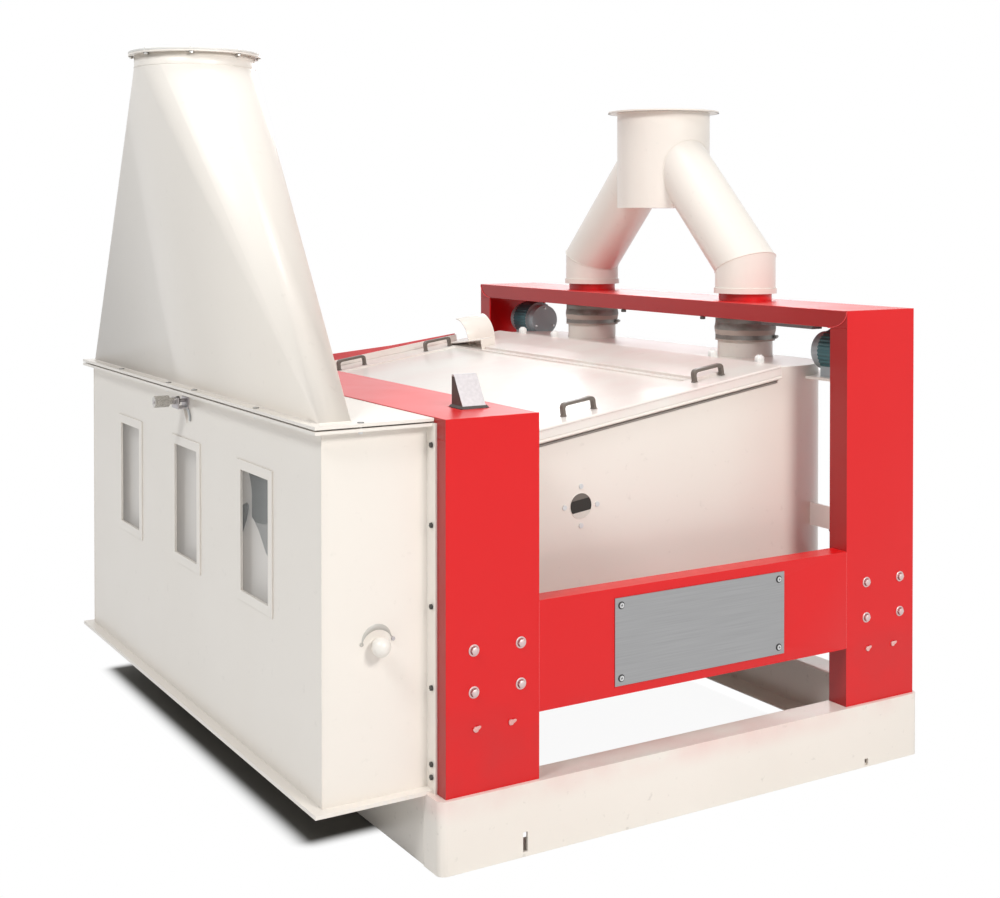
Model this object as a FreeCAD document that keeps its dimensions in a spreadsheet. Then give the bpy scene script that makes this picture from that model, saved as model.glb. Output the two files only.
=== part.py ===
import FreeCAD, Part
import math
import os
import re
import Sketcher

os.makedirs("parts", exist_ok=True)
doc = FreeCAD.newDocument("grain_cleaner")
Vector = FreeCAD.Vector

# Driving dimensions in millimetres and degrees.
# X runs from the aspiration channel to the grain inlet, Y across the sieves, Z up from the floor.
# Places along X are measured from the outer face of the outlet columns, places along Y from the middle.
SIZES = {
    "beyond": 1,
    "frame_length": 1584,
    "frame_width": 2094,
    "frame_sheet": 6,
    "column_width": 268,
    "column_depth": 70,
    "outlet_height": 1105,
    "inlet_height": 1325,
    "portal_skirt": 52,
    "base_height": 182,
    "base_depth": 85,
    "base_overhang": 12,
    "base_lead": 22,
    "base_sheet": 8,
    "base_corner": 22,
    "base_slot_width": 14,
    "base_slot_x": 220,
    "base_slot_low": 12,
    "base_slot_height": 50,
    "base_drain_x": 1385,
    "base_drain_low": 4,
    "base_drain_height": 20,
    "side_beam_bottom": 351,
    "side_beam_height": 281,
    "side_beam_depth": 60,
    "bolt_shift": 12,
    "bolt_pitch_x": 135,
    "bolt_pitch_z": 103,
    "bolt_centre_z": 483,
    "bolt_shank": 6,
    "bolt_head": 10,
    "bolt_head_height": 8,
    "bolt_clearance": 0.5,
    "bolt_end": 4,
    "stud_pitch": 101,
    "stud_z": 340,
    "stud_shank": 4,
    "stud_head": 7,
    "nameplate_length": 578,
    "nameplate_height": 230,
    "nameplate_sheet": 3,
    "nameplate_x": 788,
    "nameplate_z": 491,
    "nameplate_inset": 20,
    "screw_head": 7,
    "screw_shank": 3,
    "screw_head_height": 3,
    "pipe_radius": 98,
    "pipe_wall": 3,
    "inlet_spacing": 883,
    "inlet_x": 1450,
    "neck_radius": 86,
    "neck_height": 28,
    "neck_drop": 8,
    "collar_radius": 102,
    "collar_height": 12,
    "collar_plate": 4,
    "leg_straight": 90,
    "leg_angle": 45,
    "leg_end": 1,
    "trunk_radius": 162,
    "trunk_bottom": 1629,
    "trunk_top": 1965,
    "trunk_flange": 194,
    "flange_sheet": 5,
    "sleeve_radius": 95,
    "sleeve_wall": 4,
    "sleeve_bottom": 1196,
    "spout_radius": 89,
    "clamp_height": 14,
    "clamp_sheet": 1.5,
    "clamp_inset": 5,
    "aspiration_depth": 282,
    "aspiration_flange": 5,
    "aspiration_width": 1922,
    "aspiration_top": 1103,
    "aspiration_sheet": 3,
    "rim_drop": 2,
    "rim_overhang": 30,
    "rim_sheet": 8,
    "slot_depth": 84,
    "flange_reach": 43,
    "rim_gap": 4,
    "gasket_reach": 5,
    "rim_back": 1,
    "rim_bolt_far": 584,
    "rim_bolt_near": 114,
    "rim_bolt_side": 95,
    "partition_bottom": 700,
    "window_width": 192,
    "window_height": 322,
    "window_spacing": 538,
    "window_centre_z": 762,
    "window_border": 27,
    "window_frame_sheet": 4,
    "pane_sheet": 3,
    "discharge_bottom": 520,
    "discharge_height": 240,
    "discharge_margin": 100,
    "flap_x": 140,
    "flap_z": 562,
    "flap_reach": 110,
    "flap_tail": 55,
    "flap_sheet": 4,
    "flap_margin": 6,
    "shaft_radius": 9,
    "shaft_clearance": 0.05,
    "knob_radius": 24,
    "knob_stem": 14,
    "knob_gap": 2,
    "knob_facets": 12,
    "knob_centre": 15,
    "knob_collar": 13,
    "hood_offset": 257,
    "hood_top": 2026,
    "hood_round": 173,
    "hood_flange": 190,
    "hood_neck": 34,
    "hood_margin": 14,
    "hood_bends": 12,
    "hood_sheet": 3,
    "cap_rise": 18,
    "cap_thickness": 6,
    "flange_bolts": 8,
    "small_bolt": 3,
    "small_head": 6,
    "latch_z": 1062,
    "latch_arm": 34,
    "latch_width": 56,
    "latch_rise": 22,
    "latch_sheet": 4,
    "latch_stud": 5,
    "latch_reach": 98,
    "latch_grip": 17,
    "latch_grip_length": 62,
    "latch_collar": 10,
    "latch_collar_length": 18,
    "housing_start": 25,
    "housing_end": 1548,
    "housing_width": 1604,
    "housing_bottom": 430,
    "housing_sheet": 4,
    "housing_corner": 200,
    "housing_inlet_top": 1145,
    "housing_outlet_top": 936,
    "housing_slope": 8.47,
    "lid_start": 285,
    "lid_end": 1275,
    "lid_height": 30,
    "lid_sheet": 3,
    "lid_field_depth": 6,
    "lid_clearance": 0.2,
    "lid_end_gap": 1,
    "opening_ledge": 12,
    "lid_skirt": 20,
    "field_margin": 120,
    "rib_start": 270,
    "rib_width": 86,
    "rib_gap": 14,
    "rib_front": 40,
    "rib_back": 200,
    "rib_rise": 9,
    "rail_reach": 16,
    "rail_height": 8,
    "handle_length": 105,
    "handle_height": 38,
    "handle_bar": 7,
    "hatch_radius": 27,
    "hatch_pitch": 54,
    "hatch_x": 559,
    "hatch_z": 800,
    "outlet_slot_bottom": 560,
    "outlet_slot_height": 150,
    "spout_height": 62,
    "fines_x": 330,
    "fines_length": 180,
    "fines_width": 420,
    "fines_drop": 110,
    "deck_gap": 12,
    "deck_height": 40,
    "deck_bar": 30,
    "deck_fields": 2,
    "deck_start": 70,
    "deck_end": 1400,
    "deck_sheet": 2,
    "deck_rail": 25,
    "upper_deck_drop": 215,
    "lower_deck_drop": 390,
    "hold_down_x": 1296,
    "hold_down_inner": 465,
    "hold_down_outer": 690,
    "hold_down_stud": 5,
    "hold_down_knob": 15,
    "hold_down_height": 24,
    "hold_down_crown": 10,
    "hold_down_rise": 4,
    "lid_hood_x": 1098,
    "lid_hood_y": 653,
    "lid_hood_length": 115,
    "lid_hood_radius": 78,
    "lid_hood_foot": 18,
    "lid_hood_sheet": 3,
    "ramp_start": 1010,
    "ramp_length": 57,
    "ramp_front": 504,
    "ramp_back": 792,
    "ramp_rise": 37,
    "ramp_tip": 27,
    "handle_inset": 64,
    "handle_first": 590,
    "handle_second": 1050,
    "handle_beside_hood": 945,
    "motor_radius": 68,
    "motor_body": 90,
    "motor_cap": 38,
    "cap_sheet": 3,
    "motor_shaft": 12,
    "motor_x": 1466,
    "motor_y": 880,
    "motor_foot": 75,
    "motor_foot_length": 108,
    "weight_radius": 52,
    "weight_sheet": 20,
    "shelf_top": 1113,
    "shelf_sheet": 8,
    "shelf_start": 1385,
    "shelf_end": 1546,
    "shelf_corner": 60,
    "spring_radius": 40,
    "spring_bore": 12,
    "spring_waist": 14,
    "spring_height": 96,
    "spring_y": 890,
    "bracket_sheet": 8,
    "bracket_bottom": 310,
    "bracket_top": 560,
    "bracket_lip": 10,
    "ear_height": 60,
    "cheek_inset": 20,
    "nut_height": 9,
    "hanger_x": 168,
    "hanger_inset": 150,
    "hanger_width": 68,
    "hanger_height": 84,
    "hanger_depth": 62,
    "hanger_sheet": 6,
    "stop_slope_start": 3,
    "slot_length": 84,
    "slot_width": 76,
}
sheet = doc.addObject("Spreadsheet::Sheet", "sizes")
for row, (alias, number) in enumerate(SIZES.items(), start=1):
    sheet.set("A%d" % row, alias)
    sheet.set("B%d" % row, str(number))
    sheet.setAlias("B%d" % row, alias)
doc.recompute()


def bound(formula):
    """The formula with every size name pointing at its cell."""
    def cell(word):
        name = word.group(0)
        return "sizes." + name if name in SIZES else name
    return re.sub(r"[a-z][a-z_]*[a-z]", cell, str(formula))


def bind(thing, **formulas):
    """Tie properties of an object to formulas over the sheet."""
    for name, formula in formulas.items():
        thing.setExpression(name, bound(formula))
    return thing


def place(thing, x="0", y="0", z="0"):
    """Tie the position of an object to formulas over the sheet."""
    thing.setExpression("Placement.Base.x", bound(x))
    thing.setExpression("Placement.Base.y", bound(y))
    thing.setExpression("Placement.Base.z", bound(z))
    return thing


def block(name, x, y, z, length, width, height):
    """A box from its lowest corner."""
    box = doc.addObject("Part::Box", name)
    bind(box, Length=length, Width=width, Height=height)
    return place(box, x, y, z)


def cylinder(name, x, y, z, radius, height, axis=None):
    """A round bar from the centre of its first end, along Z unless an axis is given."""
    bar = doc.addObject("Part::Cylinder", name)
    bind(bar, Radius=radius, Height=height)
    if axis is not None:
        bar.Placement = FreeCAD.Placement(Vector(0, 0, 0), FreeCAD.Rotation(Vector(0, 0, 1), axis))
    return place(bar, x, y, z)


def hexagon(name, x, y, z, radius, height, axis):
    """A six-sided prism from the centre of its first end."""
    prism = doc.addObject("Part::Prism", name)
    prism.Polygon = 6
    bind(prism, Circumradius=radius, Height=height)
    prism.Placement = FreeCAD.Placement(Vector(0, 0, 0), FreeCAD.Rotation(Vector(0, 0, 1), axis))
    return place(prism, x, y, z)


def cut(name, base, tools):
    """Base less the tools."""
    result = doc.addObject("Part::Cut", name)
    result.Base = base
    result.Tool = tools if not isinstance(tools, list) else fuse(name + "_tools", tools)
    return result


def fuse(name, pieces):
    """Several overlapping or touching solids made one."""
    if len(pieces) == 1:
        return pieces[0]
    result = doc.addObject("Part::MultiFuse", name)
    result.Shapes = pieces
    return result


def group(name, pieces):
    """Separate solids that share one node."""
    result = doc.addObject("Part::Compound", name)
    result.Links = pieces
    return result


def mirrored(name, source):
    """The same piece on the other side of the middle plane."""
    result = doc.addObject("Part::Mirroring", name)
    result.Source = source
    result.Base = Vector(0, 0, 0)
    result.Normal = Vector(0, 1, 0)
    return result


def body(name):
    """A new empty body."""
    return doc.addObject("PartDesign::Body", name)


def sketch(owner, name, role, offset="0"):
    """A sketch on one of the body's own origin planes, moved along the plane's normal."""
    result = owner.newObject("Sketcher::SketchObject", name)
    plane = [item for item in owner.Origin.OriginFeatures if item.Role == role][0]
    result.AttachmentSupport = (plane, [""])
    result.MapMode = "FlatFace"
    result.setExpression("AttachmentOffset.Base.z", bound(offset))
    return result


def outline(drawing, corners):
    """A closed polygon whose corners are tied to formulas."""
    count = len(corners)
    first = drawing.GeometryCount
    spread = 500.0
    starts = []
    for index in range(count):
        angle = 2 * math.pi * index / count
        starts.append(Vector(spread * math.cos(angle), spread * math.sin(angle), 0))
    for index in range(count):
        edge = Part.LineSegment(starts[index], starts[(index + 1) % count])
        drawing.addGeometry(edge, False)
    for index in range(count):
        following = first + (index + 1) % count
        drawing.addConstraint(Sketcher.Constraint("Coincident", first + index, 2, following, 1))
    for index, (across, up) in enumerate(corners):
        edge = first + index
        start = starts[index]
        for kind, number, formula in (("DistanceX", start.x, across), ("DistanceY", start.y, up)):
            tie = drawing.addConstraint(Sketcher.Constraint(kind, -1, 1, edge, 1, number))
            drawing.setExpression("Constraints[%d]" % tie, bound(formula))


def circle(drawing, across, up, radius):
    """A circle whose centre and radius are tied to formulas."""
    number = drawing.GeometryCount
    drawing.addGeometry(Part.Circle(Vector(1, 1, 0), Vector(0, 0, 1), 10), False)
    for kind, formula in (("DistanceX", across), ("DistanceY", up)):
        tie = drawing.addConstraint(Sketcher.Constraint(kind, -1, 1, number, 3, 1.0))
        drawing.setExpression("Constraints[%d]" % tie, bound(formula))
    tie = drawing.addConstraint(Sketcher.Constraint("Radius", number, 10.0))
    drawing.setExpression("Constraints[%d]" % tie, bound(radius))


def pad(owner, name, drawing, length, both=False):
    """A pad of a sketch along its normal."""
    result = owner.newObject("PartDesign::Pad", name)
    result.Profile = drawing
    result.Midplane = both
    result.setExpression("Length", bound(length))
    owner.Tip = result
    return result


def pocket(owner, name, drawing, length, backwards=False, both=False):
    """A pocket of a sketch, against its normal unless turned round."""
    result = owner.newObject("PartDesign::Pocket", name)
    result.Profile = drawing
    result.Midplane = both
    result.Reversed = backwards
    result.setExpression("Length", bound(length))
    owner.Tip = result
    return result


NODES = {}


def node(name, thing):
    """Keep a finished piece under the name of its file."""
    thing.Label = name
    NODES[name] = thing
    return thing


# Places that several pieces share.
# The origin is under the middle of the whole machine, from the exhaust flange to the inlet flange.
OUTLET = "(hood_offset + hood_flange - inlet_x - trunk_flange) / 2"
HALF = "frame_width / 2"
BASE_START = "(%s - base_lead)" % OUTLET
BASE_LENGTH = "(frame_length + base_lead + base_overhang)"
BASE_HALF = "(frame_width / 2 + base_overhang)"
SIDE_BEAM_LENGTH = "(frame_length - 2 * column_width)"
X_AXIS = Vector(1, 0, 0)
Y_AXIS = Vector(0, 1, 0)
Z_AXIS = Vector(0, 0, 1)

# The base is a closed rectangle of folded channels, open inwards.
# The long beams run the full length, with two slots in the web, and the cross beams are welded between them.
long_body = body("long_beam")
profile = sketch(long_body, "long_beam_plan", "XY_Plane")
outline(profile, [
    (BASE_START, "-" + BASE_HALF),
    (BASE_START + " + " + BASE_LENGTH, "-" + BASE_HALF),
    (BASE_START + " + " + BASE_LENGTH, "-%s + base_depth" % BASE_HALF),
    (BASE_START, "-%s + base_depth" % BASE_HALF),
])
long_pad = pad(long_body, "long_beam_block", profile, "base_height")
doc.recompute()
corner_edges = []
for index, edge in enumerate(long_pad.Shape.Edges, start=1):
    upright = edge.BoundBox.ZLength > 1 and edge.BoundBox.XLength < 0.1
    if upright and edge.BoundBox.YMax < -sheet.frame_width / 2 + 1:
        corner_edges.append("Edge%d" % index)
corner = long_body.newObject("PartDesign::Fillet", "long_beam_corners")
corner.Base = (long_pad, corner_edges)
corner.setExpression("Radius", bound("base_corner"))
long_body.Tip = corner
hollow = sketch(long_body, "long_beam_hollow", "YZ_Plane", BASE_START + " + base_sheet")
outline(hollow, [
    ("-%s + base_sheet" % BASE_HALF, "base_sheet"),
    ("-%s + base_depth + beyond" % BASE_HALF, "base_sheet"),
    ("-%s + base_depth + beyond" % BASE_HALF, "base_height - base_sheet"),
    ("-%s + base_sheet" % BASE_HALF, "base_height - base_sheet"),
])
pocket(long_body, "long_beam_channel", hollow, BASE_LENGTH + " - 2 * base_sheet", backwards=True)
slots = sketch(long_body, "long_beam_slots", "XZ_Plane", BASE_HALF + " + beyond")
for kind in ("slot", "drain"):
    middle = "(%s + base_%s_x)" % (OUTLET, kind)
    low = "base_%s_low" % kind
    outline(slots, [
        (middle + " - base_slot_width / 2", low), (middle + " + base_slot_width / 2", low),
        (middle + " + base_slot_width / 2", "%s + base_%s_height" % (low, kind)),
        (middle + " - base_slot_width / 2", "%s + base_%s_height" % (low, kind)),
    ])
pocket(long_body, "long_beam_slot_cut", slots, "base_sheet + 2 * beyond")
node("base_beam_front", long_body)
node("base_beam_back", mirrored("long_beam_back", long_body))

CROSS_HALF = "(frame_width / 2 + base_overhang - base_depth)"
cross_beams = []
for name, start, open_side in (
    ("base_cross_outlet", BASE_START, 1),
    ("base_cross_inlet", BASE_START + " + " + BASE_LENGTH + " - base_depth", -1),
):
    beam = body(name + "_body")
    profile = sketch(beam, name + "_profile", "XZ_Plane", "-" + CROSS_HALF)
    corners = [
        (start, "0"), (start + " + base_depth", "0"),
        (start + " + base_depth", "base_sheet"), (start + " + base_sheet", "base_sheet"),
        (start + " + base_sheet", "base_height - base_sheet"),
        (start + " + base_depth", "base_height - base_sheet"),
        (start + " + base_depth", "base_height"), (start, "base_height"),
    ]
    if open_side < 0:
        corners = [
            (start, "0"), (start + " + base_depth", "0"),
            (start + " + base_depth", "base_height"), (start, "base_height"),
            (start, "base_height - base_sheet"),
            (start + " + base_depth - base_sheet", "base_height - base_sheet"),
            (start + " + base_depth - base_sheet", "base_sheet"), (start, "base_sheet"),
        ]
    outline(profile, corners)
    pad(beam, name + "_length", profile, "2 * " + CROSS_HALF)
    cross_beams.append(beam)
node("base_cross_beams", group("cross_beam_group", cross_beams))


def column(name, start, top):
    """A folded channel standing on the base, its web outwards and its flanges under the portal."""
    post = body(name + "_body")
    plan = sketch(post, name + "_plan", "XY_Plane", "base_height")
    face = "-" + HALF
    outline(plan, [
        (start, face), (start + " + column_width", face),
        (start + " + column_width", face + " + column_depth"),
        (start + " + column_width - frame_sheet", face + " + column_depth"),
        (start + " + column_width - frame_sheet", face + " + frame_sheet"),
        (start + " + frame_sheet", face + " + frame_sheet"),
        (start + " + frame_sheet", face + " + column_depth"),
        (start, face + " + column_depth"),
    ])
    pad(post, name + "_height", plan, top + " - base_height")
    seat = sketch(post, name + "_seat", "XY_Plane", top)
    outline(seat, [
        (start + " - beyond", face + " + frame_sheet"),
        (start + " + column_width + beyond", face + " + frame_sheet"),
        (start + " + column_width + beyond", face + " + column_depth + beyond"),
        (start + " - beyond", face + " + column_depth + beyond"),
    ])
    pocket(post, name + "_seat_cut", seat, "portal_skirt")
    holes = sketch(post, name + "_holes", "XZ_Plane", HALF + " + beyond")
    middle = start + " + column_width / 2"
    for across in (-1, 1):
        for up in (-1, 1):
            circle(holes, "%s + bolt_shift + %d * bolt_pitch_x / 2" % (middle, across),
                   "bolt_centre_z + %d * bolt_pitch_z / 2" % up, "bolt_shank + bolt_clearance")
        circle(holes, "%s + %d * stud_pitch / 2" % (middle, across), "stud_z",
               "stud_shank + bolt_clearance")
    pocket(post, name + "_bolt_holes", holes, "frame_sheet + 2 * beyond")
    return post


def portal(name, start, top, openings):
    """An inverted channel between the webs of two columns."""
    beam = body(name + "_body")
    reach = "(frame_width / 2 - frame_sheet)"
    profile = sketch(beam, name + "_profile", "XZ_Plane", "-" + reach)
    outline(profile, [
        (start, top + " - portal_skirt"), (start + " + frame_sheet", top + " - portal_skirt"),
        (start + " + frame_sheet", top + " - frame_sheet"),
        (start + " + column_width - frame_sheet", top + " - frame_sheet"),
        (start + " + column_width - frame_sheet", top + " - portal_skirt"),
        (start + " + column_width", top + " - portal_skirt"),
        (start + " + column_width", top), (start, top),
    ])
    pad(beam, name + "_length", profile, "2 * " + reach)
    holes = sketch(beam, name + "_openings", "XY_Plane", top)
    openings(holes, start)
    pocket(beam, name + "_opening_cut", holes, "frame_sheet + beyond")
    return beam


# The hanger plates of the sieve housing come up through a slot at each end of the outlet portal.
HANGER_X = "(%s + hanger_x)" % OUTLET
HANGER_Y = "(frame_width / 2 - hanger_inset - hanger_depth / 2)"


def hanger_slots(drawing, start):
    for side in (-1, 1):
        middle = "%d * %s" % (side, HANGER_Y)
        outline(drawing, [
            (HANGER_X + " - slot_length / 2", middle + " - slot_width / 2"),
            (HANGER_X + " + slot_length / 2", middle + " - slot_width / 2"),
            (HANGER_X + " + slot_length / 2", middle + " + slot_width / 2"),
            (HANGER_X + " - slot_length / 2", middle + " + slot_width / 2"),
        ])


INLET_PIPE_X = "(%s + inlet_x)" % OUTLET


def pipe_holes(drawing, start):
    for side in (-1, 1):
        circle(drawing, INLET_PIPE_X, "%d * inlet_spacing / 2" % side, "neck_radius - pipe_wall")


COLUMN_INLET_START = "(%s + frame_length - column_width)" % OUTLET
front_outlet_column = node("column_outlet_front", column("outlet_post", OUTLET, "outlet_height"))
node("column_outlet_back", mirrored("outlet_post_back", front_outlet_column))
front_inlet_column = node("column_inlet_front", column("inlet_post", COLUMN_INLET_START, "inlet_height"))
node("column_inlet_back", mirrored("inlet_post_back", front_inlet_column))
node("portal_outlet", portal("outlet_beam", OUTLET, "outlet_height", hanger_slots))
node("portal_inlet", portal("inlet_beam", COLUMN_INLET_START, "inlet_height", pipe_holes))

# Each side beam is a channel set flush with the faces of its two columns, open inwards.
NAMEPLATE_X = "(%s + nameplate_x)" % OUTLET
BEAM_TOP = "(side_beam_bottom + side_beam_height)"


def plate_corner(across, up):
    """The place of one nameplate screw on the front face."""
    along = "%s + %d * (nameplate_length / 2 - nameplate_inset)" % (NAMEPLATE_X, across)
    height = "nameplate_z + %d * (nameplate_height / 2 - nameplate_inset)" % up
    return along, height


def side_channel(name):
    beam = body(name + "_body")
    profile = sketch(beam, name + "_profile", "YZ_Plane", OUTLET + " + column_width")
    outline(profile, [
        ("-" + HALF, "side_beam_bottom"), ("-%s + side_beam_depth" % HALF, "side_beam_bottom"),
        ("-%s + side_beam_depth" % HALF, "side_beam_bottom + frame_sheet"),
        ("-%s + frame_sheet" % HALF, "side_beam_bottom + frame_sheet"),
        ("-%s + frame_sheet" % HALF, BEAM_TOP + " - frame_sheet"),
        ("-%s + side_beam_depth" % HALF, BEAM_TOP + " - frame_sheet"),
        ("-%s + side_beam_depth" % HALF, BEAM_TOP), ("-" + HALF, BEAM_TOP),
    ])
    pad(beam, name + "_length", profile, SIDE_BEAM_LENGTH)
    return beam


front_beam = side_channel("front_channel")
screw_holes = sketch(front_beam, "nameplate_screw_holes", "XZ_Plane", HALF + " + beyond")
CORNERS = [(across, up) for across in (-1, 1) for up in (-1, 1)]
for across, up in CORNERS:
    circle(screw_holes, *plate_corner(across, up), "screw_shank")
pocket(front_beam, "nameplate_screw_cut", screw_holes, "frame_sheet + 2 * beyond")
node("side_beam_front", front_beam)
node("side_beam_back", mirrored("back_channel", side_channel("back_channel_source")))

# The nameplate is a plain brushed plate held to the front side beam by four screws.
plate = body("nameplate_body")
plate_face = sketch(plate, "nameplate_outline", "XZ_Plane", HALF)
outline(plate_face, [
    (NAMEPLATE_X + " - nameplate_length / 2", "nameplate_z - nameplate_height / 2"),
    (NAMEPLATE_X + " + nameplate_length / 2", "nameplate_z - nameplate_height / 2"),
    (NAMEPLATE_X + " + nameplate_length / 2", "nameplate_z + nameplate_height / 2"),
    (NAMEPLATE_X + " - nameplate_length / 2", "nameplate_z + nameplate_height / 2"),
])
for across, up in CORNERS:
    circle(plate_face, *plate_corner(across, up), "screw_shank")
pad(plate, "nameplate_thickness", plate_face, "nameplate_sheet")
node("nameplate", plate)


def screw(name, x, y, z, axis, head, head_height, shank, length, hexagonal=False):
    """A headed fastener: its head stands out along the axis and its shank goes back through the joint."""
    shape = hexagon if hexagonal else cylinder
    top = shape(name + "_head", x, y, z, head, head_height, axis)
    stem = cylinder(name + "_shank", x, y, z, shank, length, axis.negative())
    return fuse(name, [top, stem])


OUTWARD = Vector(0, -1, 0)
plate_screws = []
for number, (across, up) in enumerate(CORNERS):
    along, height = plate_corner(across, up)
    plate_screws.append(screw("plate_screw_%d" % number, along, "-%s - nameplate_sheet" % HALF, height,
                              OUTWARD,
                              "screw_head", "screw_head_height", "screw_shank",
                              "nameplate_sheet + frame_sheet"))
node("nameplate_screws", group("plate_screw_group", plate_screws))

# Inside each column a folded bracket carries a rubber spring.
# Four hexagon bolts and two small studs hold it to the web.
BRACKET_BACK = "(-frame_width / 2 + frame_sheet)"
BRACKET_END = "(-spring_y + spring_radius + bracket_lip)"


def column_bolt_places(start):
    """Where the bolts and the studs of one column stand, across and up."""
    middle = "%s + column_width / 2" % start
    bolts = []
    for across, up in CORNERS:
        bolts.append(("%s + bolt_shift + %d * bolt_pitch_x / 2" % (middle, across),
                      "bolt_centre_z + %d * bolt_pitch_z / 2" % up))
    studs = [("%s + %d * stud_pitch / 2" % (middle, across), "stud_z") for across in (-1, 1)]
    return bolts, studs


def spring_bracket(name, start):
    holder = body(name + "_body")
    left = "%s + frame_sheet + bracket_sheet / 2" % start
    width = "(column_width - 2 * frame_sheet - bracket_sheet)"
    side = sketch(holder, name + "_side", "YZ_Plane", left)
    outline(side, [
        (BRACKET_BACK, "bracket_bottom"), (BRACKET_BACK + " + bracket_sheet", "bracket_bottom"),
        (BRACKET_END, "bracket_top - 4 * bracket_sheet"), (BRACKET_END, "bracket_top"),
        (BRACKET_BACK, "bracket_top"),
    ])
    pad(holder, name + "_width", side, width)
    inside = sketch(holder, name + "_inside", "YZ_Plane", left + " + bracket_sheet")
    outline(inside, [
        (BRACKET_BACK + " + bracket_sheet", "bracket_bottom - beyond"),
        (BRACKET_END + " + beyond", "bracket_bottom - beyond"),
        (BRACKET_END + " + beyond", "bracket_top - bracket_sheet"),
        (BRACKET_BACK + " + bracket_sheet", "bracket_top - bracket_sheet"),
    ])
    pocket(holder, name + "_cheeks", inside, width + " - 2 * bracket_sheet", backwards=True)
    holes = sketch(holder, name + "_holes", "XZ_Plane", "-%s + beyond" % BRACKET_BACK)
    bolts, studs = column_bolt_places(start)
    for across, up in bolts:
        circle(holes, across, up, "bolt_shank + bolt_clearance")
    for across, up in studs:
        circle(holes, across, up, "stud_shank + bolt_clearance")
    pocket(holder, name + "_bolt_holes", holes, "bracket_sheet + 2 * beyond")
    return holder


def spring(name, x, y):
    """A hollow rubber spring with a waist, standing on its bracket."""
    block_of_rubber = cylinder(name + "_rubber", x, y, "bracket_top", "spring_radius", "spring_height")
    groove = doc.addObject("Part::Torus", name + "_groove")
    bind(groove, Radius1="spring_radius + spring_waist", Radius2="2 * spring_waist")
    place(groove, x, y, "bracket_top + spring_height / 2")
    bore = cylinder(name + "_bore", x, y, "bracket_top - beyond", "spring_bore", "spring_height + 2 * beyond")
    return cut(name, block_of_rubber, [groove, bore])


column_fasteners = []
brackets = []
for end, start in (("outlet", OUTLET), ("inlet", COLUMN_INLET_START)):
    bolts, studs = column_bolt_places(start)
    stack = "frame_sheet + bracket_sheet"
    inner_face = "-%s + %s" % (HALF, stack)
    for number, (across, up) in enumerate(bolts):
        name = "%s_bolt_%d" % (end, number)
        head = screw(name, across, "-" + HALF, up, OUTWARD, "bolt_head", "bolt_head_height", "bolt_shank",
                     stack + " + nut_height + bolt_end", True)
        nut = hexagon(name + "_nut", across, inner_face, up, "bolt_head", "nut_height", Y_AXIS)
        column_fasteners.append(fuse(name, [head, nut]))
    for number, (across, up) in enumerate(studs):
        name = "%s_stud_%d" % (end, number)
        head = screw(name, across, "-" + HALF, up, OUTWARD, "stud_head", "stud_head / 2", "stud_shank",
                     stack + " + nut_height")
        nut = hexagon(name + "_nut", across, inner_face, up, "stud_head", "nut_height / 2", Y_AXIS)
        column_fasteners.append(fuse(name, [head, nut]))
    brackets.append(spring_bracket(end + "_bracket", start))
front_fasteners = group("front_fastener_group", column_fasteners)
node("column_bolts", group("bolt_group", [front_fasteners, mirrored("back_fastener_group", front_fasteners)]))

front_brackets = group("front_bracket_group", brackets)
node("spring_brackets", group("bracket_group", [front_brackets, mirrored("back_bracket_group",
                                                                         front_brackets)]))

OUTLET_SPRING_X = "(%s + column_width / 2)" % OUTLET
INLET_SPRING_X = "(%s + column_width / 2)" % COLUMN_INLET_START
springs = []
for end, x in (("outlet", OUTLET_SPRING_X), ("inlet", INLET_SPRING_X)):
    for side_name, side in (("front", -1), ("back", 1)):
        springs.append(spring("spring_%s_%s" % (end, side_name), x, "%d * spring_y" % side))
node("rubber_springs", group("spring_group", springs))

# The inlet pipe is a wye: one trunk feeds two legs, each turned down on to its own flexible sleeve.
# A red neck welded in the inlet portal carries each leg and a clamp ring joins them.
COLLAR_BOTTOM = "(inlet_height + neck_height)"
necks = []
for side_name, side in (("front", -1), ("back", 1)):
    middle = "%d * inlet_spacing / 2" % side
    outer = cylinder("neck_%s_outer" % side_name, INLET_PIPE_X, middle, "inlet_height", "neck_radius",
                     "neck_height - collar_plate")
    lower = cylinder("neck_%s_lower" % side_name, INLET_PIPE_X, middle,
                     "inlet_height - portal_skirt - neck_drop",
                     "neck_radius - pipe_wall", "portal_skirt + neck_height - collar_plate + neck_drop")
    bore = cylinder("neck_%s_bore" % side_name, INLET_PIPE_X, middle,
                    "inlet_height - portal_skirt - neck_drop - beyond",
                    "neck_radius - 2 * pipe_wall", "portal_skirt + neck_height + neck_drop + 2 * beyond")
    tube = fuse("neck_%s_tube" % side_name, [outer, lower])
    necks.append(cut("neck_%s" % side_name, tube, bore))
node("portal_necks", group("neck_group", necks))

TRUNK_AXIS_Z = "(inlet_height + neck_height + leg_straight + inlet_spacing / 2 * tan(leg_angle))"


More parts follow.
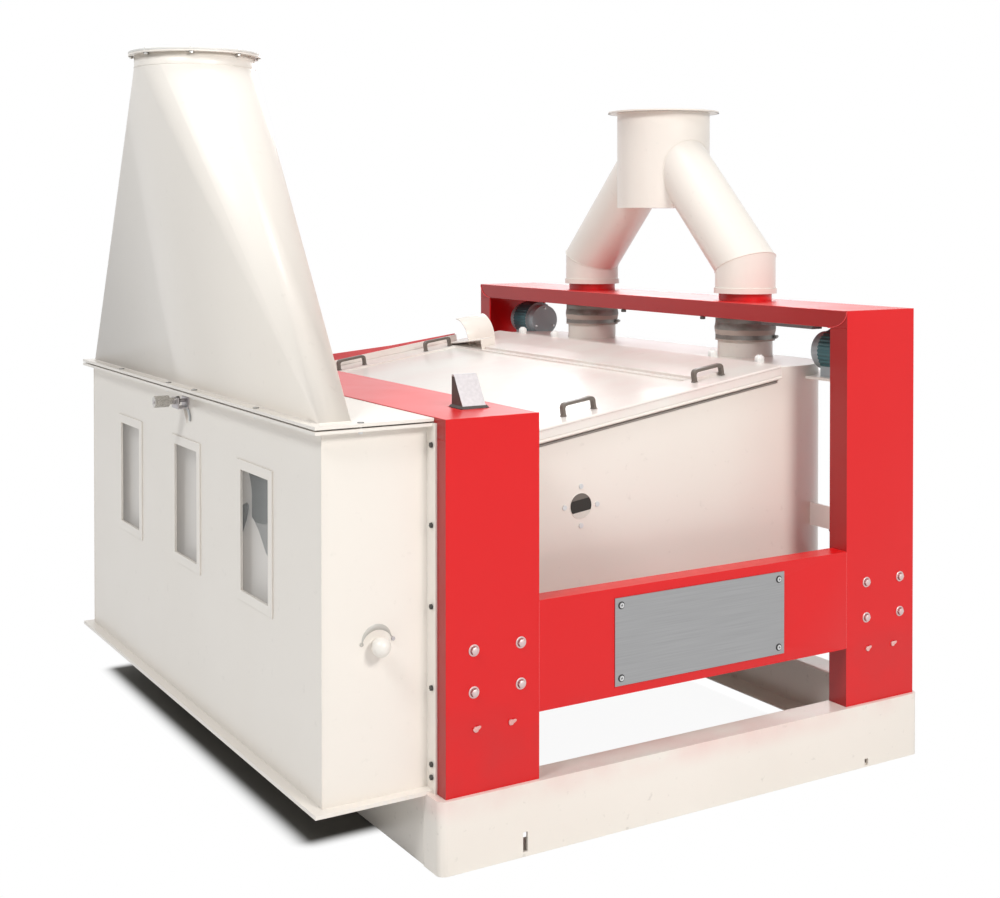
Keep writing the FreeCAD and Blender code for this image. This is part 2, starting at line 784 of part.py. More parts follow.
def leg(name, side):
    """A leg of the wye swept along its centre line: straight up, then in towards the trunk."""
    pipe = body(name + "_body")
    path = sketch(pipe, name + "_path", "YZ_Plane", INLET_PIPE_X)
    points = [
        ("%d * inlet_spacing / 2" % side, COLLAR_BOTTOM),
        ("%d * inlet_spacing / 2" % side, COLLAR_BOTTOM + " + leg_straight"),
        ("%d * leg_end" % side, TRUNK_AXIS_Z + " - leg_end * tan(leg_angle)"),
    ]
    places = [Vector(side * 441, 1353, 0), Vector(side * 441, 1443, 0), Vector(side, 1883, 0)]
    for index in range(2):
        path.addGeometry(Part.LineSegment(places[index], places[index + 1]), False)
    path.addConstraint(Sketcher.Constraint("Coincident", 0, 2, 1, 1))
    ends = [(0, 1), (1, 1), (1, 2)]
    for (edge, end), start, (across, up) in zip(ends, places, points):
        for kind, number, formula in (("DistanceX", start.x, across), ("DistanceY", start.y, up)):
            tie = path.addConstraint(Sketcher.Constraint(kind, -1, 1, edge, end, number))
            path.setExpression("Constraints[%d]" % tie, bound(formula))
    rings = (("outer", "pipe_radius", "PartDesign::AdditivePipe"),
             ("bore", "pipe_radius - pipe_wall", "PartDesign::SubtractivePipe"))
    for ring, radius, kind in rings:
        section = sketch(pipe, "%s_%s" % (name, ring), "XY_Plane", COLLAR_BOTTOM)
        circle(section, INLET_PIPE_X, "%d * inlet_spacing / 2" % side, radius)
        doc.recompute()
        sweep = pipe.newObject(kind, "%s_%s_sweep" % (name, ring))
        sweep.Profile = section
        sweep.Spine = (path, ["Edge1", "Edge2"])
        sweep.Transition = "Right corner"
        pipe.Tip = sweep
    return pipe


trunk_solid = cylinder("trunk_solid", INLET_PIPE_X, "0", "trunk_bottom", "trunk_radius",
                       "trunk_top - trunk_bottom")
trunk_flange = cylinder("trunk_flange_disc", INLET_PIPE_X, "0", "trunk_top - flange_sheet", "trunk_flange",
                        "flange_sheet")
trunk_bore = cylinder("trunk_bore", INLET_PIPE_X, "0", "trunk_bottom + pipe_wall", "trunk_radius - pipe_wall",
                      "trunk_top - trunk_bottom")
legs = {}
leg_passages = []
for side_name, side in (("front", -1), ("back", 1)):
    legs[side_name] = leg("leg_" + side_name, side)
    slant = cylinder("passage_" + side_name, INLET_PIPE_X, "0", TRUNK_AXIS_Z, "pipe_radius - pipe_wall",
                     "inlet_spacing", Vector(0, side, -1))
    leg_passages.append(slant)
trunk = fuse("trunk_wall", [trunk_solid, trunk_flange])
node("wye_trunk", cut("trunk", trunk, [trunk_bore] + leg_passages))
for side_name in ("front", "back"):
    node("wye_leg_" + side_name, cut("wye_leg_" + side_name, legs[side_name], trunk_solid))

# A collar with a flat floor joins each leg to its red neck.
# Below the portal a flexible sleeve, held by two band clamps, hangs over the spout of the sieve housing.
SLEEVE_TOP = "(inlet_height - portal_skirt)"


def ring(name, y, low, inner, outer, height):
    """An upright ring about an inlet axis."""
    solid = cylinder(name + "_solid", INLET_PIPE_X, y, low, outer, height)
    bore = cylinder(name + "_bore", INLET_PIPE_X, y, low + " - beyond", inner, height + " + 2 * beyond")
    return cut(name, solid, bore)


collars = []
sleeves = []
clamps = []
for side_name, side in (("front", -1), ("back", 1)):
    middle = "%d * inlet_spacing / 2" % side
    wall = ring("collar_wall_" + side_name, middle, COLLAR_BOTTOM, "pipe_radius", "collar_radius",
                "collar_height")
    floor = ring("collar_floor_" + side_name, middle, COLLAR_BOTTOM + " - collar_plate",
                 "neck_radius - 2 * pipe_wall", "collar_radius", "collar_plate")
    collars.append(fuse("collar_" + side_name, [wall, floor]))
    sleeve = ring("sleeve_" + side_name, middle, "sleeve_bottom", "sleeve_radius - sleeve_wall",
                  "sleeve_radius", "(inlet_height - frame_sheet - sleeve_bottom)")
    sleeves.append(sleeve)
    for number, low in enumerate(("sleeve_bottom + clamp_inset",
                                  SLEEVE_TOP + " - clamp_height - clamp_inset")):
        clamps.append(ring("clamp_%s_%d" % (side_name, number), middle, low, "sleeve_radius",
                           "sleeve_radius + clamp_sheet", "clamp_height"))
node("leg_collars", group("collar_group", collars))
node("inlet_sleeves", group("sleeve_group", sleeves))
node("sleeve_clamps", group("clamp_group", clamps))

# The sieve housing is a welded box with an inclined top and large rounded corners at the inlet end.
# Its side profile is drawn once for the outside and once, a sheet smaller, for the inside.
HOUSING_HALF = "(housing_width / 2)"
HOUSING_START = "(%s + housing_start)" % OUTLET
HOUSING_END = "(%s + housing_end)" % OUTLET
LID_START = "(%s + lid_start)" % OUTLET
LID_END = "(%s + lid_end)" % OUTLET
TOP_AT_LID_START = "(housing_outlet_top + (lid_start - housing_start) * tan(housing_slope))"
TOP_AT_LID_END = "(housing_outlet_top + (lid_end - housing_start) * tan(housing_slope))"


def housing_block(name, inset):
    """The housing's solid form, drawn in by an inset on every face."""
    shell = body(name + "_body")
    side = sketch(shell, name + "_side", "XZ_Plane")
    outline(side, [
        ("%s + %s" % (HOUSING_START, inset), "housing_bottom + " + inset),
        ("%s - %s" % (HOUSING_END, inset), "housing_bottom + " + inset),
        ("%s - %s" % (HOUSING_END, inset), "housing_inlet_top - " + inset),
        ("%s + %s" % (LID_END, inset), "housing_inlet_top - " + inset),
        ("%s + %s" % (LID_END, inset), "%s - %s" % (TOP_AT_LID_END, inset)),
        ("%s + %s" % (HOUSING_START, inset), "housing_outlet_top - " + inset),
    ])
    solid = pad(shell, name + "_width", side, "housing_width - 2 * " + inset, both=True)
    doc.recompute()
    upright = []
    for index, edge in enumerate(solid.Shape.Edges, start=1):
        box = edge.BoundBox
        if box.ZLength > 1 and box.XLength < 0.1 and box.XMin > solid.Shape.BoundBox.XMax - 1:
            upright.append("Edge%d" % index)
    corner = shell.newObject("PartDesign::Fillet", name + "_corners")
    corner.Base = (solid, upright)
    corner.setExpression("Radius", bound("housing_corner - " + inset))
    shell.Tip = corner
    return shell


housing_outside = housing_block("housing_outside", "0")
housing_inside = housing_block("housing_inside", "housing_sheet")
lid_opening = block("lid_opening", LID_START + " + opening_ledge", "-%s + housing_sheet" % HOUSING_HALF,
                    "housing_outlet_top", "lid_end - lid_start - 2 * opening_ledge",
                    "housing_width - 2 * housing_sheet", "housing_inlet_top - housing_outlet_top")
outlet_window = block("outlet_window", HOUSING_START + " - beyond", "-%s + discharge_margin" % HOUSING_HALF,
                      "outlet_slot_bottom", "housing_sheet + 2 * beyond",
                      "housing_width - 2 * discharge_margin",
                      "outlet_slot_height")
HATCH_X = "(%s + hatch_x)" % OUTLET
hatch_hole = cylinder("hatch_hole", HATCH_X, "-%s - beyond" % HOUSING_HALF, "hatch_z", "hatch_radius",
                      "housing_sheet + 2 * beyond", Y_AXIS)
spout_bores = []
spout_tubes = []
for side_name, side in (("front", -1), ("back", 1)):
    middle = "%d * inlet_spacing / 2" % side
    spout_bores.append(cylinder("spout_bore_" + side_name, INLET_PIPE_X, middle,
                                "housing_inlet_top - housing_sheet - beyond", "spout_radius - pipe_wall",
                                "housing_sheet + 2 * beyond"))
    spout_tubes.append(ring("spout_" + side_name, middle, "housing_inlet_top", "spout_radius - pipe_wall",
                            "spout_radius", "spout_height"))
fines_x = "(%s + fines_x)" % OUTLET
fines_hole = block("fines_hole", fines_x + " - fines_length / 2", "-fines_width / 2",
                   "housing_bottom - beyond",
                   "fines_length", "fines_width", "housing_sheet + 2 * beyond")
hatch_screw_holes = []
hatch_screws = []
for number, (across, up) in enumerate(((-1, 0), (1, 0), (0, -1), (0, 1))):
    x = "%s + %d * hatch_pitch" % (HATCH_X, across)
    z = "hatch_z + %d * hatch_pitch" % up
    hatch_screw_holes.append(cylinder("hatch_screw_hole_%d" % number, x, "-%s - beyond" % HOUSING_HALF, z,
                                      "screw_shank", "housing_sheet + 2 * beyond", Y_AXIS))
    hatch_screws.append(screw("hatch_screw_%d" % number, x, "-" + HOUSING_HALF, z, OUTWARD,
                              "screw_head", "screw_head_height", "screw_shank", "housing_sheet"))
housing = cut("housing_shell", housing_outside,
              [housing_inside, lid_opening, outlet_window, hatch_hole, fines_hole] + spout_bores
              + hatch_screw_holes)
node("sieve_housing", housing)
node("hatch_screws", group("hatch_screw_group", hatch_screws))
node("inlet_spouts", group("spout_group", spout_tubes))

# The fines leave through a short rectangular spout welded under the floor of the housing.
fines_outer = block("fines_outer", fines_x + " - fines_length / 2 - housing_sheet",
                    "-fines_width / 2 - housing_sheet",
                    "housing_bottom - fines_drop", "fines_length + 2 * housing_sheet",
                    "fines_width + 2 * housing_sheet", "fines_drop")
fines_inner = block("fines_inner", fines_x + " - fines_length / 2", "-fines_width / 2",
                    "housing_bottom - fines_drop - beyond", "fines_length", "fines_width",
                    "fines_drop + 2 * beyond")
node("fines_spout", cut("fines_spout_walls", fines_outer, fines_inner))

# Four ears welded to the sides of the housing rest on the rubber springs.
# A shelf on each side of the inlet end carries a vibration motor.
ears = []
OUTLET_EAR_LENGTH = "(hanger_x + hanger_width / 2 - column_width / 2 + spring_radius)"
for end, x, length in (("outlet", OUTLET_SPRING_X, OUTLET_EAR_LENGTH),
                       ("inlet", INLET_SPRING_X, "2 * spring_radius")):
    name = "ear_" + end
    plate_top = block(name + "_plate", x + " - spring_radius", "-spring_y - spring_radius",
                      "bracket_top + spring_height", length,
                      "spring_y + spring_radius - housing_width / 2 + housing_corner", "bracket_sheet")
    cheek = block(name + "_cheek", x + " - spring_radius", "-spring_y - spring_radius + cheek_inset",
                  "bracket_top + spring_height + bracket_sheet", "bracket_sheet",
                  "spring_y + spring_radius - cheek_inset - housing_width / 2 + housing_corner", "ear_height")
    ears.append(cut(name, fuse(name + "_angle", [plate_top, cheek]), housing_outside))
shelf_body = body("shelf_body")
shelf_plan = sketch(shelf_body, "shelf_plan", "XY_Plane", "shelf_top - shelf_sheet")
SHELF_LEFT = "(%s + shelf_start)" % OUTLET
SHELF_RIGHT = "(%s + shelf_end)" % OUTLET
SHELF_FRONT = "(-motor_y - motor_body / 2 - motor_cap)"
outline(shelf_plan, [
    (SHELF_LEFT, SHELF_FRONT), (SHELF_RIGHT + " - shelf_corner", SHELF_FRONT),
    (SHELF_RIGHT, SHELF_FRONT + " + shelf_corner"), (SHELF_RIGHT, "-housing_width / 2 + housing_corner"),
    (SHELF_LEFT, "-housing_width / 2 + housing_corner"),
])
pad(shelf_body, "shelf_thickness", shelf_plan, "shelf_sheet")
ears.append(cut("motor_shelf", shelf_body, housing_outside))
front_ears = group("front_ears", ears)
node("housing_brackets", group("ear_group", [front_ears, mirrored("back_ears", front_ears)]))

# At the outlet end a folded stop plate rises from each ear through the slot in the portal.
# It keeps the travel of the housing within the slot.
STOP_FRONT = "(-frame_width / 2 + hanger_inset)"
STOP_LEFT = "(%s - hanger_width / 2)" % HANGER_X
STOP_BASE = "(bracket_top + spring_height + bracket_sheet)"
stop = body("stop_body")
stop_side = sketch(stop, "stop_side", "YZ_Plane", STOP_LEFT)
outline(stop_side, [
    (STOP_FRONT, STOP_BASE), (STOP_FRONT, "outlet_height + stop_slope_start"),
    (STOP_FRONT + " + hanger_depth - 2 * hanger_sheet", "outlet_height + hanger_height"),
    (STOP_FRONT + " + hanger_depth", "outlet_height + hanger_height"),
    (STOP_FRONT + " + hanger_depth", STOP_BASE),
])
pad(stop, "stop_width", stop_side, "hanger_width")
stop_inside = sketch(stop, "stop_inside", "YZ_Plane", STOP_LEFT + " + hanger_sheet")
outline(stop_inside, [
    (STOP_FRONT + " + hanger_sheet", STOP_BASE + " - beyond"),
    (STOP_FRONT + " + hanger_sheet", "outlet_height + stop_slope_start"),
    (STOP_FRONT + " + hanger_depth - hanger_sheet", "outlet_height + hanger_height - hanger_sheet"),
    (STOP_FRONT + " + hanger_depth + beyond", "outlet_height + hanger_height - hanger_sheet"),
    (STOP_FRONT + " + hanger_depth + beyond", STOP_BASE + " - beyond"),
])
pocket(stop, "stop_fold", stop_inside, "hanger_width - 2 * hanger_sheet", backwards=True)
node("stop_plates", group("stop_group", [stop, mirrored("back_stop", stop)]))

# A rim rail along each side of the opening carries the lid's skirt.
# It is drawn flat and tilted to the slope of the housing.
RAIL_LENGTH = "((lid_end - lid_start) / cos(housing_slope))"
LID_LENGTH = "(%s - lid_end_gap)" % RAIL_LENGTH


def tilt(thing, x, z):
    """Lay a piece that is drawn flat on the slope of the housing, from a point of its edge."""
    thing.Placement = FreeCAD.Placement(Vector(0, 0, 0), FreeCAD.Rotation(Vector(0, -1, 0), 1))
    place(thing, x, "0", z)
    thing.setExpression("Placement.Rotation.Angle", bound("housing_slope"))
    return thing


rim_rails = []
for side_name, side in (("front", -1), ("back", 1)):
    low_edge = "-%s - rail_reach" % HOUSING_HALF if side < 0 else HOUSING_HALF
    rail = body("rim_rail_%s_body" % side_name)
    plan = sketch(rail, "rim_rail_%s_plan" % side_name, "XY_Plane", "-rail_height")
    outline(plan, [
        ("0", low_edge), (RAIL_LENGTH, low_edge),
        (RAIL_LENGTH, low_edge + " + rail_reach"), ("0", low_edge + " + rail_reach"),
    ])
    pad(rail, "rim_rail_%s_height" % side_name, plan, "rail_height")
    rim_rails.append(tilt(rail, LID_START, TOP_AT_LID_START))
node("lid_rails", group("rim_rail_group", rim_rails))

# The lid is a shallow pressed tray with a sunken field, a cross rib and a step towards the inlet.
lid = body("lid_body")
lid_plan = sketch(lid, "lid_plan", "XY_Plane", "lid_clearance")
LID_HALF = "(housing_width / 2 + rail_reach)"
outline(lid_plan, [("0", "-" + LID_HALF), (LID_LENGTH, "-" + LID_HALF), (LID_LENGTH, LID_HALF), ("0",
                                                                                                 LID_HALF)])
pad(lid, "lid_block", lid_plan, "lid_height")
under = sketch(lid, "lid_under", "XY_Plane", "lid_clearance")
outline(under, [
    ("lid_sheet", "-%s + lid_skirt" % LID_HALF), (LID_LENGTH + " - lid_sheet", "-%s + lid_skirt" % LID_HALF),
    (LID_LENGTH + " - lid_sheet", LID_HALF + " - lid_skirt"), ("lid_sheet", LID_HALF + " - lid_skirt"),
])
pocket(lid, "lid_hollow", under, "lid_height - lid_sheet - lid_field_depth", backwards=True)
field = sketch(lid, "lid_field", "XY_Plane", "lid_clearance + lid_height")
FIELD_END = "(%s - rib_start)" % LID_LENGTH
FIELD_HALF = "(%s - field_margin)" % LID_HALF
outline(field, [
    ("field_margin / 2", "-" + FIELD_HALF), (FIELD_END, "-" + FIELD_HALF),
    (FIELD_END, FIELD_HALF), ("field_margin / 2", FIELD_HALF),
])
pocket(lid, "lid_field_press", field, "lid_field_depth")
rib = sketch(lid, "lid_rib", "XY_Plane", "lid_clearance + lid_height")
outline(rib, [
    (FIELD_END + " + rib_gap", "-%s - rib_front" % FIELD_HALF),
    (FIELD_END + " + rib_gap + rib_width", "-%s - rib_front" % FIELD_HALF),
    (FIELD_END + " + rib_gap + rib_width", FIELD_HALF + " - rib_back"),
    (FIELD_END + " + rib_gap", FIELD_HALF + " - rib_back"),
])
pad(lid, "lid_rib_press", rib, "rib_rise")
node("sieve_lid", tilt(lid, LID_START, TOP_AT_LID_START))

# Four bridge handles of bent bar lift the lid off, two along each side.
handles = []
for number, along_name in enumerate(("handle_first", "handle_second")):
    for side_name, side in (("front", -1), ("back", 1)):
        name = "handle_%d_%s" % (number, side_name)
        if number == 1 and side > 0:
            along_name = "handle_beside_hood"
        centre = "((%s - lid_start) / cos(housing_slope))" % along_name
        handle = body(name)
        face = sketch(handle, name + "_face", "XZ_Plane",
                      "%d * (housing_width / 2 - handle_inset) + handle_bar" % -side)
        floor = "(lid_clearance + lid_height)"
        half = "handle_length / 2"
        outline(face, [
            ("%s - %s - handle_bar" % (centre, half), floor), ("%s - %s" % (centre, half), floor),
            ("%s - %s + handle_bar" % (centre, half), floor + " + handle_height - handle_bar"),
            ("%s + %s - handle_bar" % (centre, half), floor + " + handle_height - handle_bar"),
            ("%s + %s" % (centre, half), floor), ("%s + %s + handle_bar" % (centre, half), floor),
            ("%s + %s" % (centre, half), floor + " + handle_height"),
            ("%s - %s" % (centre, half), floor + " + handle_height"),
        ])
        pad(handle, name + "_width", face, "2 * handle_bar")
        handles.append(tilt(handle, LID_START, TOP_AT_LID_START))
node("lid_handles", group("handle_group", handles))

# A quarter-round hood of sheet stands on the lid near its back edge, open to the outlet end.
# A low ramp of sheet, open to the same end, runs from the back edge of the lid up to a small front wall.
LID_TOP = "(lid_clearance + lid_height)"


def along_lid(distance):
    """A distance from the outlet columns, measured along the slope of the lid."""
    return "((%s - lid_start) / cos(housing_slope))" % distance


def hood_form(name, inset, start):
    """The hood's solid form, drawn in by an inset at the front, the top and the inlet end."""
    round_part = cylinder(name + "_round", start, "lid_hood_y + lid_hood_radius",
                          LID_TOP + " + lid_hood_foot",
                          "lid_hood_radius - %s" % inset, "lid_hood_length - %s" % inset, X_AXIS)
    foot = block(name + "_foot", start, "lid_hood_y + %s" % inset, LID_TOP, "lid_hood_length - %s" % inset,
                 "lid_hood_radius - %s" % inset, "lid_hood_foot")
    return fuse(name, [round_part, foot])


hood_left = along_lid("(lid_hood_x - lid_hood_length / 2)")
hood_outside = hood_form("lid_hood_outside", "0", hood_left)
hood_inside = hood_form("lid_hood_inside", "lid_hood_sheet", hood_left + " - beyond")
quarter = block("lid_hood_quarter", hood_left, "lid_hood_y", LID_TOP, "lid_hood_length", "lid_hood_radius",
                "lid_hood_foot + lid_hood_radius")
hood_shell = doc.addObject("Part::Common", "lid_hood_shell")
hood_shell.Base = cut("lid_hood_sheet_form", hood_outside, hood_inside)
hood_shell.Tool = quarter
ramp = body("ramp_body")
ramp_side = sketch(ramp, "ramp_side", "YZ_Plane", along_lid("ramp_start"))
outline(ramp_side, [("ramp_front", LID_TOP), ("ramp_back", LID_TOP), ("ramp_front",
                                                                      LID_TOP + " + ramp_rise")])
pad(ramp, "ramp_width", ramp_side, "ramp_length")
ramp_inside = sketch(ramp, "ramp_inside", "YZ_Plane", along_lid("ramp_start") + " - beyond")
outline(ramp_inside, [
    ("ramp_front + lid_hood_sheet", LID_TOP + " - beyond"), ("ramp_back - ramp_tip", LID_TOP + " - beyond"),
    ("ramp_back - ramp_tip", LID_TOP),
    ("ramp_front + lid_hood_sheet", LID_TOP + " + ramp_rise - lid_hood_sheet - beyond / 2"),
])
pocket(ramp, "ramp_hollow", ramp_inside, "ramp_length - lid_hood_sheet + beyond", backwards=True)
node("lid_hood", tilt(fuse("lid_hood_form", [hood_shell, ramp]), LID_START, TOP_AT_LID_START))

# Plastic knobs on welded studs stand in a row beside the inlet edge of the lid.
hold_down_x = "(%s + hold_down_x)" % OUTLET
studs = []
for number, y in enumerate(("-hold_down_outer", "-hold_down_inner", "hold_down_inner", "hold_down_outer")):
    name = "hold_down_%d" % number
    studs.append(cylinder(name + "_stud", hold_down_x, y, "housing_inlet_top", "hold_down_stud",
                          "hold_down_height"))
    grip = cylinder(name + "_grip", hold_down_x, y, "housing_inlet_top + lid_clearance", "hold_down_knob",
                    "hold_down_height")
    crown = cylinder(name + "_crown", hold_down_x, y, "housing_inlet_top + hold_down_height - lid_clearance",
                     "hold_down_crown", "hold_down_rise")
    bore = cylinder(name + "_bore", hold_down_x, y, "housing_inlet_top - beyond",
                    "hold_down_stud + shaft_clearance",
                    "hold_down_height + 2 * beyond")
    node(name + "_knob", cut(name + "_knob_form", fuse(name + "_solid", [grip, crown]), bore))
node("hold_down_studs", group("hold_down_stud_group", studs))

# Two sieve decks lie one above the other on rails, parallel to the lid.
# Each is a frame with cross bars, and a perforated sheet lies on it.
DECK_LENGTH = "((deck_end - deck_start) / cos(housing_slope))"
DECK_HALF = "(housing_width / 2 - housing_sheet - deck_gap)"
DECK_START = "(%s + deck_start)" % OUTLET
DECK_RAIL_LENGTH = "((housing_end - housing_corner - deck_start - deck_rail) / cos(housing_slope))"
rails = []
for level in ("upper", "lower"):
    floor = "(housing_outlet_top + (deck_start - housing_start) * tan(housing_slope) - %s_deck_drop)" % level
    frame = body(level + "_deck_body")
    plan = sketch(frame, level + "_deck_plan", "XY_Plane")
    outline(plan, [("0", "-" + DECK_HALF), (DECK_LENGTH, "-" + DECK_HALF), (DECK_LENGTH, DECK_HALF),
                   ("0", DECK_HALF)])
    pad(frame, level + "_deck_height", plan, "deck_height")
    fields = sketch(frame, level + "_deck_fields", "XY_Plane", "deck_height")
    bay_length = "((%s - (deck_fields + 1) * deck_bar) / deck_fields)" % DECK_LENGTH
    bay_width = "((2 * %s - (deck_fields + 1) * deck_bar) / deck_fields)" % DECK_HALF
    for along in range(SIZES["deck_fields"]):
        for across in range(SIZES["deck_fields"]):
            left = "deck_bar + %d * (%s + deck_bar)" % (along, bay_length)
            low = "-%s + deck_bar + %d * (%s + deck_bar)" % (DECK_HALF, across, bay_width)
            outline(fields, [(left, low), ("%s + %s" % (left, bay_length), low),
                             ("%s + %s" % (left, bay_length), "%s + %s" % (low, bay_width)),
                             (left, "%s + %s" % (low, bay_width))])
    pocket(frame, level + "_deck_open", fields, "deck_height + beyond")
    node(level + "_sieve_frame", tilt(frame, DECK_START, floor))
    screen = body(level + "_screen_body")
    screen_plan = sketch(screen, level + "_screen_plan", "XY_Plane", "deck_height")
    outline(screen_plan, [("0", "-" + DECK_HALF), (DECK_LENGTH, "-" + DECK_HALF), (DECK_LENGTH, DECK_HALF),
                          ("0", DECK_HALF)])
    pad(screen, level + "_screen_thickness", screen_plan, "deck_sheet")
    node(level + "_sieve_sheet", tilt(screen, DECK_START, floor))
    for side_name, low in (("front", "-%s - deck_gap" % DECK_HALF),
                           ("back", DECK_HALF + " + deck_gap - deck_rail")):
        rail = body("%s_rail_%s_body" % (level, side_name))
        rail_plan = sketch(rail, "%s_rail_%s_plan" % (level, side_name), "XY_Plane", "-deck_rail")
        outline(rail_plan, [("0", low), (DECK_RAIL_LENGTH, low), (DECK_RAIL_LENGTH, low + " + deck_rail"),
                            ("0", low + " + deck_rail")])
        pad(rail, "%s_rail_%s_height" % (level, side_name), rail_plan, "deck_rail")
        rails.append(tilt(rail, DECK_START, floor))
node("deck_rails", group("deck_rail_group", rails))

# Each vibration motor lies across the machine: a barrel on a foot, a cup at each end and a shaft
# that carries a half-round weight in each cup.
MOTOR_X = "(%s + motor_x)" % OUTLET
MOTOR_Z = "(shelf_top + motor_foot)"
MOTOR_HALF = "(motor_body / 2 + motor_cap)"
barrel = cylinder("motor_barrel", MOTOR_X, "-motor_y - motor_body / 2", MOTOR_Z, "motor_radius", "motor_body",
                  Y_AXIS)
caps = cylinder("motor_caps", MOTOR_X, "-motor_y - " + MOTOR_HALF, MOTOR_Z, "weight_radius + 2 * cap_sheet",
                "2 * " + MOTOR_HALF, Y_AXIS)
foot = block("motor_foot_block", MOTOR_X + " - motor_foot_length / 2", "-motor_y - motor_body / 2",
             "shelf_top",
             "motor_foot_length", "motor_body", "motor_foot - motor_radius / 2")
shaft_bore = cylinder("motor_shaft_bore", MOTOR_X, "-motor_y - motor_body / 2 - beyond", MOTOR_Z,
                      "motor_shaft + shaft_clearance", "motor_body + 2 * beyond", Y_AXIS)
cavities = []
weights = []
for end in (-1, 1):
    start = "-motor_y - motor_body / 2 - motor_cap + cap_sheet" if end < 0 else "-motor_y + motor_body / 2"
    cavities.append(cylinder("motor_cavity_%d" % (end + 1), MOTOR_X, start, MOTOR_Z,
                             "weight_radius + cap_sheet",
                             "motor_cap - cap_sheet", Y_AXIS))
    weight = cylinder("motor_weight_disc_%d" % (end + 1), MOTOR_X,
                      start + " + (motor_cap - cap_sheet - weight_sheet) / 2", MOTOR_Z, "weight_radius",
                      "weight_sheet", Y_AXIS)
    upper_half = block("motor_weight_cut_%d" % (end + 1), MOTOR_X + " - weight_radius - beyond", start,
                       MOTOR_Z,
                       "2 * (weight_radius + beyond)", "motor_cap - cap_sheet", "weight_radius + beyond")
    weights.append(cut("motor_weight_%d" % (end + 1), weight, upper_half))
motor = cut("motor_form", fuse("motor_solid", [barrel, caps, foot]), [shaft_bore] + cavities)
node("motor_bodies", group("motor_group", [motor, mirrored("motor_back", motor)]))
shaft = cylinder("motor_shaft_bar", MOTOR_X, "-motor_y - %s + 2 * cap_sheet" % MOTOR_HALF, MOTOR_Z,
                 "motor_shaft",
                 "2 * %s - 4 * cap_sheet" % MOTOR_HALF, Y_AXIS)
rotor = fuse("motor_rotor_form", [shaft] + weights)
node("motor_rotor_front", rotor)
node("motor_rotor_back", mirrored("motor_rotor_mirror", rotor))

# The aspiration channel is a tall sheet box bolted to the outlet columns by flanges at its back edge.
# Its back stands on the base, its bottom rim hangs in front of the base, and three windows are in its front.
CHANNEL_BACK = "(%s - aspiration_flange)" % OUTLET
CHANNEL_FRONT = "(%s - aspiration_flange - aspiration_depth)" % OUTLET
CHANNEL_HALF = "(aspiration_width / 2)"
CHANNEL_HEIGHT = "(aspiration_top - base_height)"
SHEET = "aspiration_sheet"
WINDOW_PLACES = ("-window_spacing", "0", "window_spacing")
walls = block("channel_walls", CHANNEL_FRONT, "-" + CHANNEL_HALF, "base_height", "aspiration_depth",
              "aspiration_width", CHANNEL_HEIGHT + " - rim_sheet - rim_gap")
room = block("channel_room", CHANNEL_FRONT + " + " + SHEET, "-%s + %s" % (CHANNEL_HALF, SHEET),
             "base_height - rim_drop - beyond", "aspiration_depth - 2 * " + SHEET,
             "aspiration_width - 2 * " + SHEET, CHANNEL_HEIGHT + " + rim_drop + 2 * beyond")
discharge = block("channel_discharge", CHANNEL_BACK + " - 2 * " + SHEET,
                  "-%s + discharge_margin" % HOUSING_HALF,
                  "discharge_bottom", "3 * " + SHEET, "housing_width - 2 * discharge_margin",
                  "discharge_height")
openings = [room, discharge]
for number, y in enumerate(WINDOW_PLACES):
    openings.append(block("window_opening_%d" % number, CHANNEL_FRONT + " - beyond",
                          y + " - window_width / 2",
                          "window_centre_z - window_height / 2", SHEET + " + 2 * beyond", "window_width",
                          "window_height"))
RIM_BELOW = "(aspiration_top - 2 * rim_sheet - rim_gap)"
rims = []
for name, low in (("bottom_rim", "base_height"), ("top_rim", RIM_BELOW)):
    rims.append(block(name, CHANNEL_FRONT + " - rim_overhang", "-%s - rim_overhang" % CHANNEL_HALF, low,
                      "aspiration_depth + rim_overhang", "aspiration_width + 2 * rim_overhang", "rim_sheet"))
rims.append(block("bottom_rim_lip", CHANNEL_FRONT + " - rim_overhang", "-%s - rim_overhang" % CHANNEL_HALF,
                  "base_height - rim_drop",
                  "aspiration_depth + rim_overhang + aspiration_flange - base_lead - beyond",
                  "aspiration_width + 2 * rim_overhang", "rim_drop"))
flanges = []
for side_name, low in (("front", "-%s - flange_reach" % CHANNEL_HALF), ("back", CHANNEL_HALF)):
    flanges.append(block("back_flange_" + side_name, CHANNEL_BACK, low, "base_height", "aspiration_flange",
                         "flange_reach", RIM_BELOW + " + rim_sheet - base_height"))
    edge = "-%s" % CHANNEL_HALF if side_name == "front" else CHANNEL_HALF + " - 2 * " + SHEET
    flanges.append(block("back_flange_root_" + side_name, CHANNEL_BACK, edge, "base_height",
                         "aspiration_flange",
                         "2 * " + SHEET, RIM_BELOW + " + rim_sheet - base_height"))
SHAFT_X = "(%s - aspiration_flange - flap_x)" % OUTLET
shaft_hole = cylinder("flap_shaft_hole", SHAFT_X, "-%s - beyond" % CHANNEL_HALF, "flap_z",
                      "shaft_radius + shaft_clearance", "aspiration_width + 2 * beyond", Y_AXIS)
shell = cut("channel_shell", fuse("channel_solid", [walls] + rims + flanges), openings + [shaft_hole])

